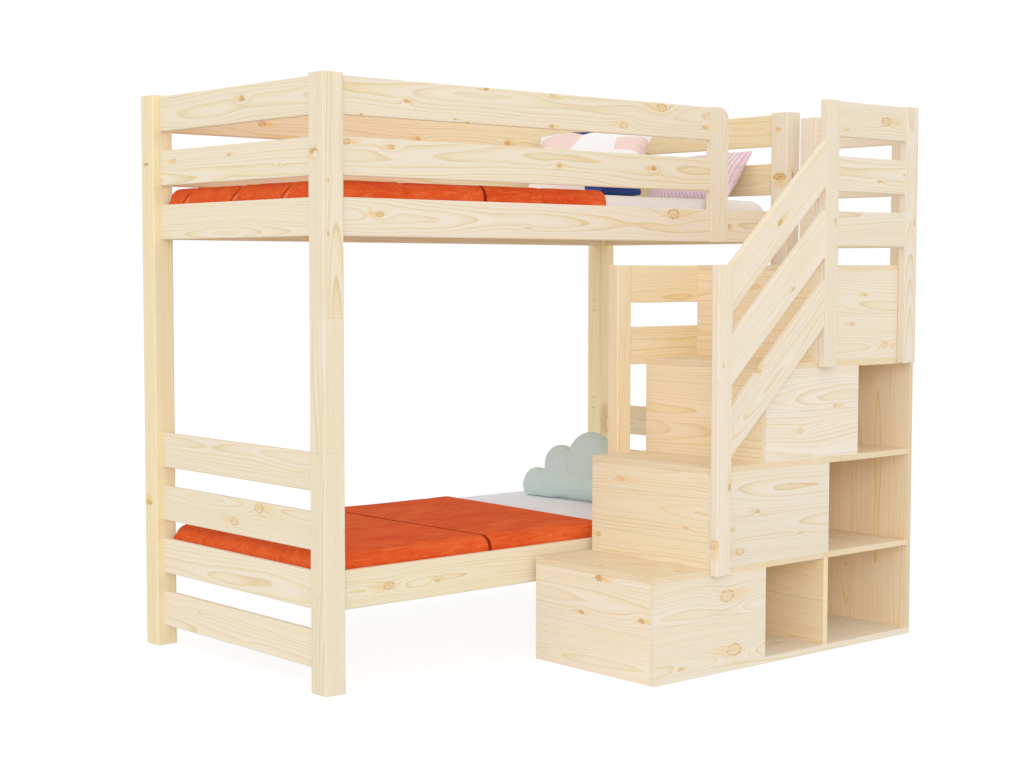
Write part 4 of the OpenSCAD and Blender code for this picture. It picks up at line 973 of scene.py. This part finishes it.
def cloud_piece(name, mat):
    """A stuffed cloud: domed discs grown together, swollen a little, and creased where the lobes meet."""
    zb, mid = 368.5, 1482.0
    discs = [(786, 46, 54, 46, 2.6), (793, 32, 52, 46, 2.6), (656, 118, 76, 48, 2.6), (502, 138, 112, 55, 2.8), (356, 62, 62, 48, 2.6)]
    discs += [(y, 60, 62, 50, 2.6) for y in range(372, 700, 23)] + [(y, 40, 52, 48, 2.6) for y in range(700, 780, 20)]
    verts, faces = [], []
    around = 56
    steps = [0.0, 0.25, 0.45, 0.6, 0.72, 0.82, 0.89, 0.94, 0.975, 0.995]
    for y, z, r, t, n in discs:
        r, t = r - 1.5, t - 3                           # room to swell
        rows = []
        for side in (-1, 1):
            for q in steps[::-1] if side > 0 else steps:
                x = side * t * math.sqrt(1 - q ** n)
                if q == 0:
                    rows.append([len(verts)] * around)
                    verts.append((mid + x, y, z))
                else:
                    rows.append(list(range(len(verts), len(verts) + around)))
                    for k in range(around):
                        a_ = 2 * math.pi * k / around
                        verts.append((mid + x, y + r * q * math.cos(a_), z + r * q * math.sin(a_)))
        for r0, r1 in zip(rows, rows[1:]):
            for k in range(around):
                k2 = (k + 1) % around
                f = [r0[k], r1[k], r1[k2], r0[k2]]
                f = [v_ for i, v_ in enumerate(f) if v_ != f[i - 1]]
                if len(f) >= 3:
                    faces.append(tuple(f))
    o = new_mesh(name, [mm(x, y, z + zb) for x, y, z in verts], faces, mat)
    m = o.modifiers.new("skin", "REMESH")
    m.mode = "VOXEL"
    m.voxel_size = 0.0055
    m.use_smooth_shade = True
    sm = o.modifiers.new("soften", "SMOOTH")
    sm.factor = 0.5
    sm.iterations = 5
    bake_modifiers(o)
    o.data.materials.clear()
    o.data.materials.append(mat)
    inflate(o, 4.0, 12, 0.006, stiff=15, bend=0.8)
    subdivide(o, 1)
    me = o.data
    nor = np.zeros(len(me.vertices) * 3)
    me.vertices.foreach_get("normal", nor)
    nor = nor.reshape(-1, 3)
    c = coords(o)
    x = (c[:, 0] + OX) * 1000
    y = (c[:, 1] + OY) * 1000
    z = c[:, 2] * 1000 - zb
    # creases from the notches into the faces
    for line in CREASES:
        pts = np.array(line, float)
        best, along = np.full(len(c), 1e9), np.zeros(len(c))
        for i in range(len(pts) - 1):
            a_, b_ = pts[i], pts[i + 1]
            ab = b_ - a_
            t = np.clip(((y - a_[0]) * ab[0] + (z - a_[1]) * ab[1]) / (ab @ ab), 0, 1)
            d = np.hypot(y - a_[0] - t * ab[0], z - a_[1] - t * ab[1])
            closer = d < best
            best = np.where(closer, d, best)
            along = np.where(closer, (i + t) / (len(pts) - 1), along)
        depth = 10.5 * (1 - 0.75 * along) * np.exp(-(best / 6.5) ** 2)
        c -= nor * (depth / 1000)[:, None]
    c += nor * (grain_noise(c, (11, 11, 11), 3.0) * 0.0022)[:, None]
    floor = 0.3686
    low = floor + 0.007
    c[:, 2] = np.where(c[:, 2] < low, floor + np.maximum(0, c[:, 2] - floor + 0.007) ** 2 / 0.028, c[:, 2])
    c[:, 2] = np.maximum(c[:, 2], floor)
    set_coords(o, c)
    return o


CREASES = [[(733, 98), (762, 58), (782, 20)], [(608, 190), (650, 148), (694, 116)]]
cl = cloud_piece("cloud_pillow", knit("sage_knit"))
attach(cl, "root")
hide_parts("cloud_cushion")

# ------------------------------------------------------------------ floor and light

SKY_BACK, SKY_FRONT, FLOOR_SEEN, FLOOR_LIGHT = 0.57, 1.20, 0.84, 0.40

g = Net("pale_floor")
grit = g.noise(g.coord, 3.0, 3.0, 0.5)
g.put(g.bsdf.inputs["Base Color"], g.mix(g.remap(grit, 0.3, 0.7), srgb(158, 158, 157), srgb(163, 163, 162)))
g.bsdf.inputs["Roughness"].default_value = 0.9
g.bsdf.inputs["Specular IOR Level"].default_value = 0.1
g.bsdf.inputs["Emission Color"].default_value = (1, 1, 1, 1)
seen = g.t.nodes.new("ShaderNodeLightPath")
g.put(g.bsdf.inputs["Emission Strength"], g.m("ADD", FLOOR_LIGHT, g.m("MULTIPLY", seen.outputs["Is Camera Ray"], FLOOR_SEEN - FLOOR_LIGHT)))
floor = new_mesh("floor", [(-14, -14, -0.0004), (16, -14, -0.0004), (16, 18, -0.0004), (-14, 18, -0.0004)], [(0, 1, 2, 3)], g.mat)

world = bpy.data.worlds.new("studio")
scene.world = world
world.use_nodes = True
sky = world.node_tree.nodes["Background"]
sky.inputs["Color"].default_value = (1.0, 1.0, 1.0, 1.0)
wt = world.node_tree


def wnode(kind, op=None, **values):
    n = wt.nodes.new(kind)
    if op:
        n.operation = op
    for k, x in values.items():
        n.inputs[int(k[1:])].default_value = x
    return n


# a wide soft light from the front and the left, brighter than the back of the studio
where = wnode("ShaderNodeTexCoord")
face = wnode("ShaderNodeVectorMath", "DOT_PRODUCT", _1=(-0.66, -0.68, 0.32))
wt.links.new(where.outputs["Generated"], face.inputs[0])
glow = wt.nodes.new("ShaderNodeMapRange")
glow.interpolation_type = "SMOOTHSTEP"
for k, x in (("From Min", -0.6), ("From Max", 1.0), ("To Min", SKY_BACK), ("To Max", SKY_FRONT)):
    glow.inputs[k].default_value = x
wt.links.new(face.outputs["Value"], glow.inputs["Value"])
seen = wnode("ShaderNodeLightPath")
pick = wt.nodes.new("ShaderNodeMix")
pick.inputs[3].default_value = 1.02
wt.links.new(seen.outputs["Is Camera Ray"], pick.inputs[0])
wt.links.new(glow.outputs["Result"], pick.inputs[2])
wt.links.new(pick.outputs[0], sky.inputs["Strength"])


def area(name, at, to, size, power):
    l = bpy.data.lights.new(name, "AREA")
    l.shape = "DISK"
    l.size = size
    l.energy = power
    o = bpy.data.objects.new(name, l)
    scene.collection.objects.link(o)
    o.location = at
    o.rotation_euler = (Vector(to) - Vector(at)).to_track_quat("-Z", "Y").to_euler()
    o.visible_camera = False
    return o


area("soft_front", (-8.2, -9.0, 4.2), (0, 0, 0.8), 5.0, 275)
scene.view_settings.view_transform = "Standard"
scene.view_settings.look = "None"
scene.view_settings.exposure = 0.0
scene.view_settings.gamma = VIEW_GAMMA
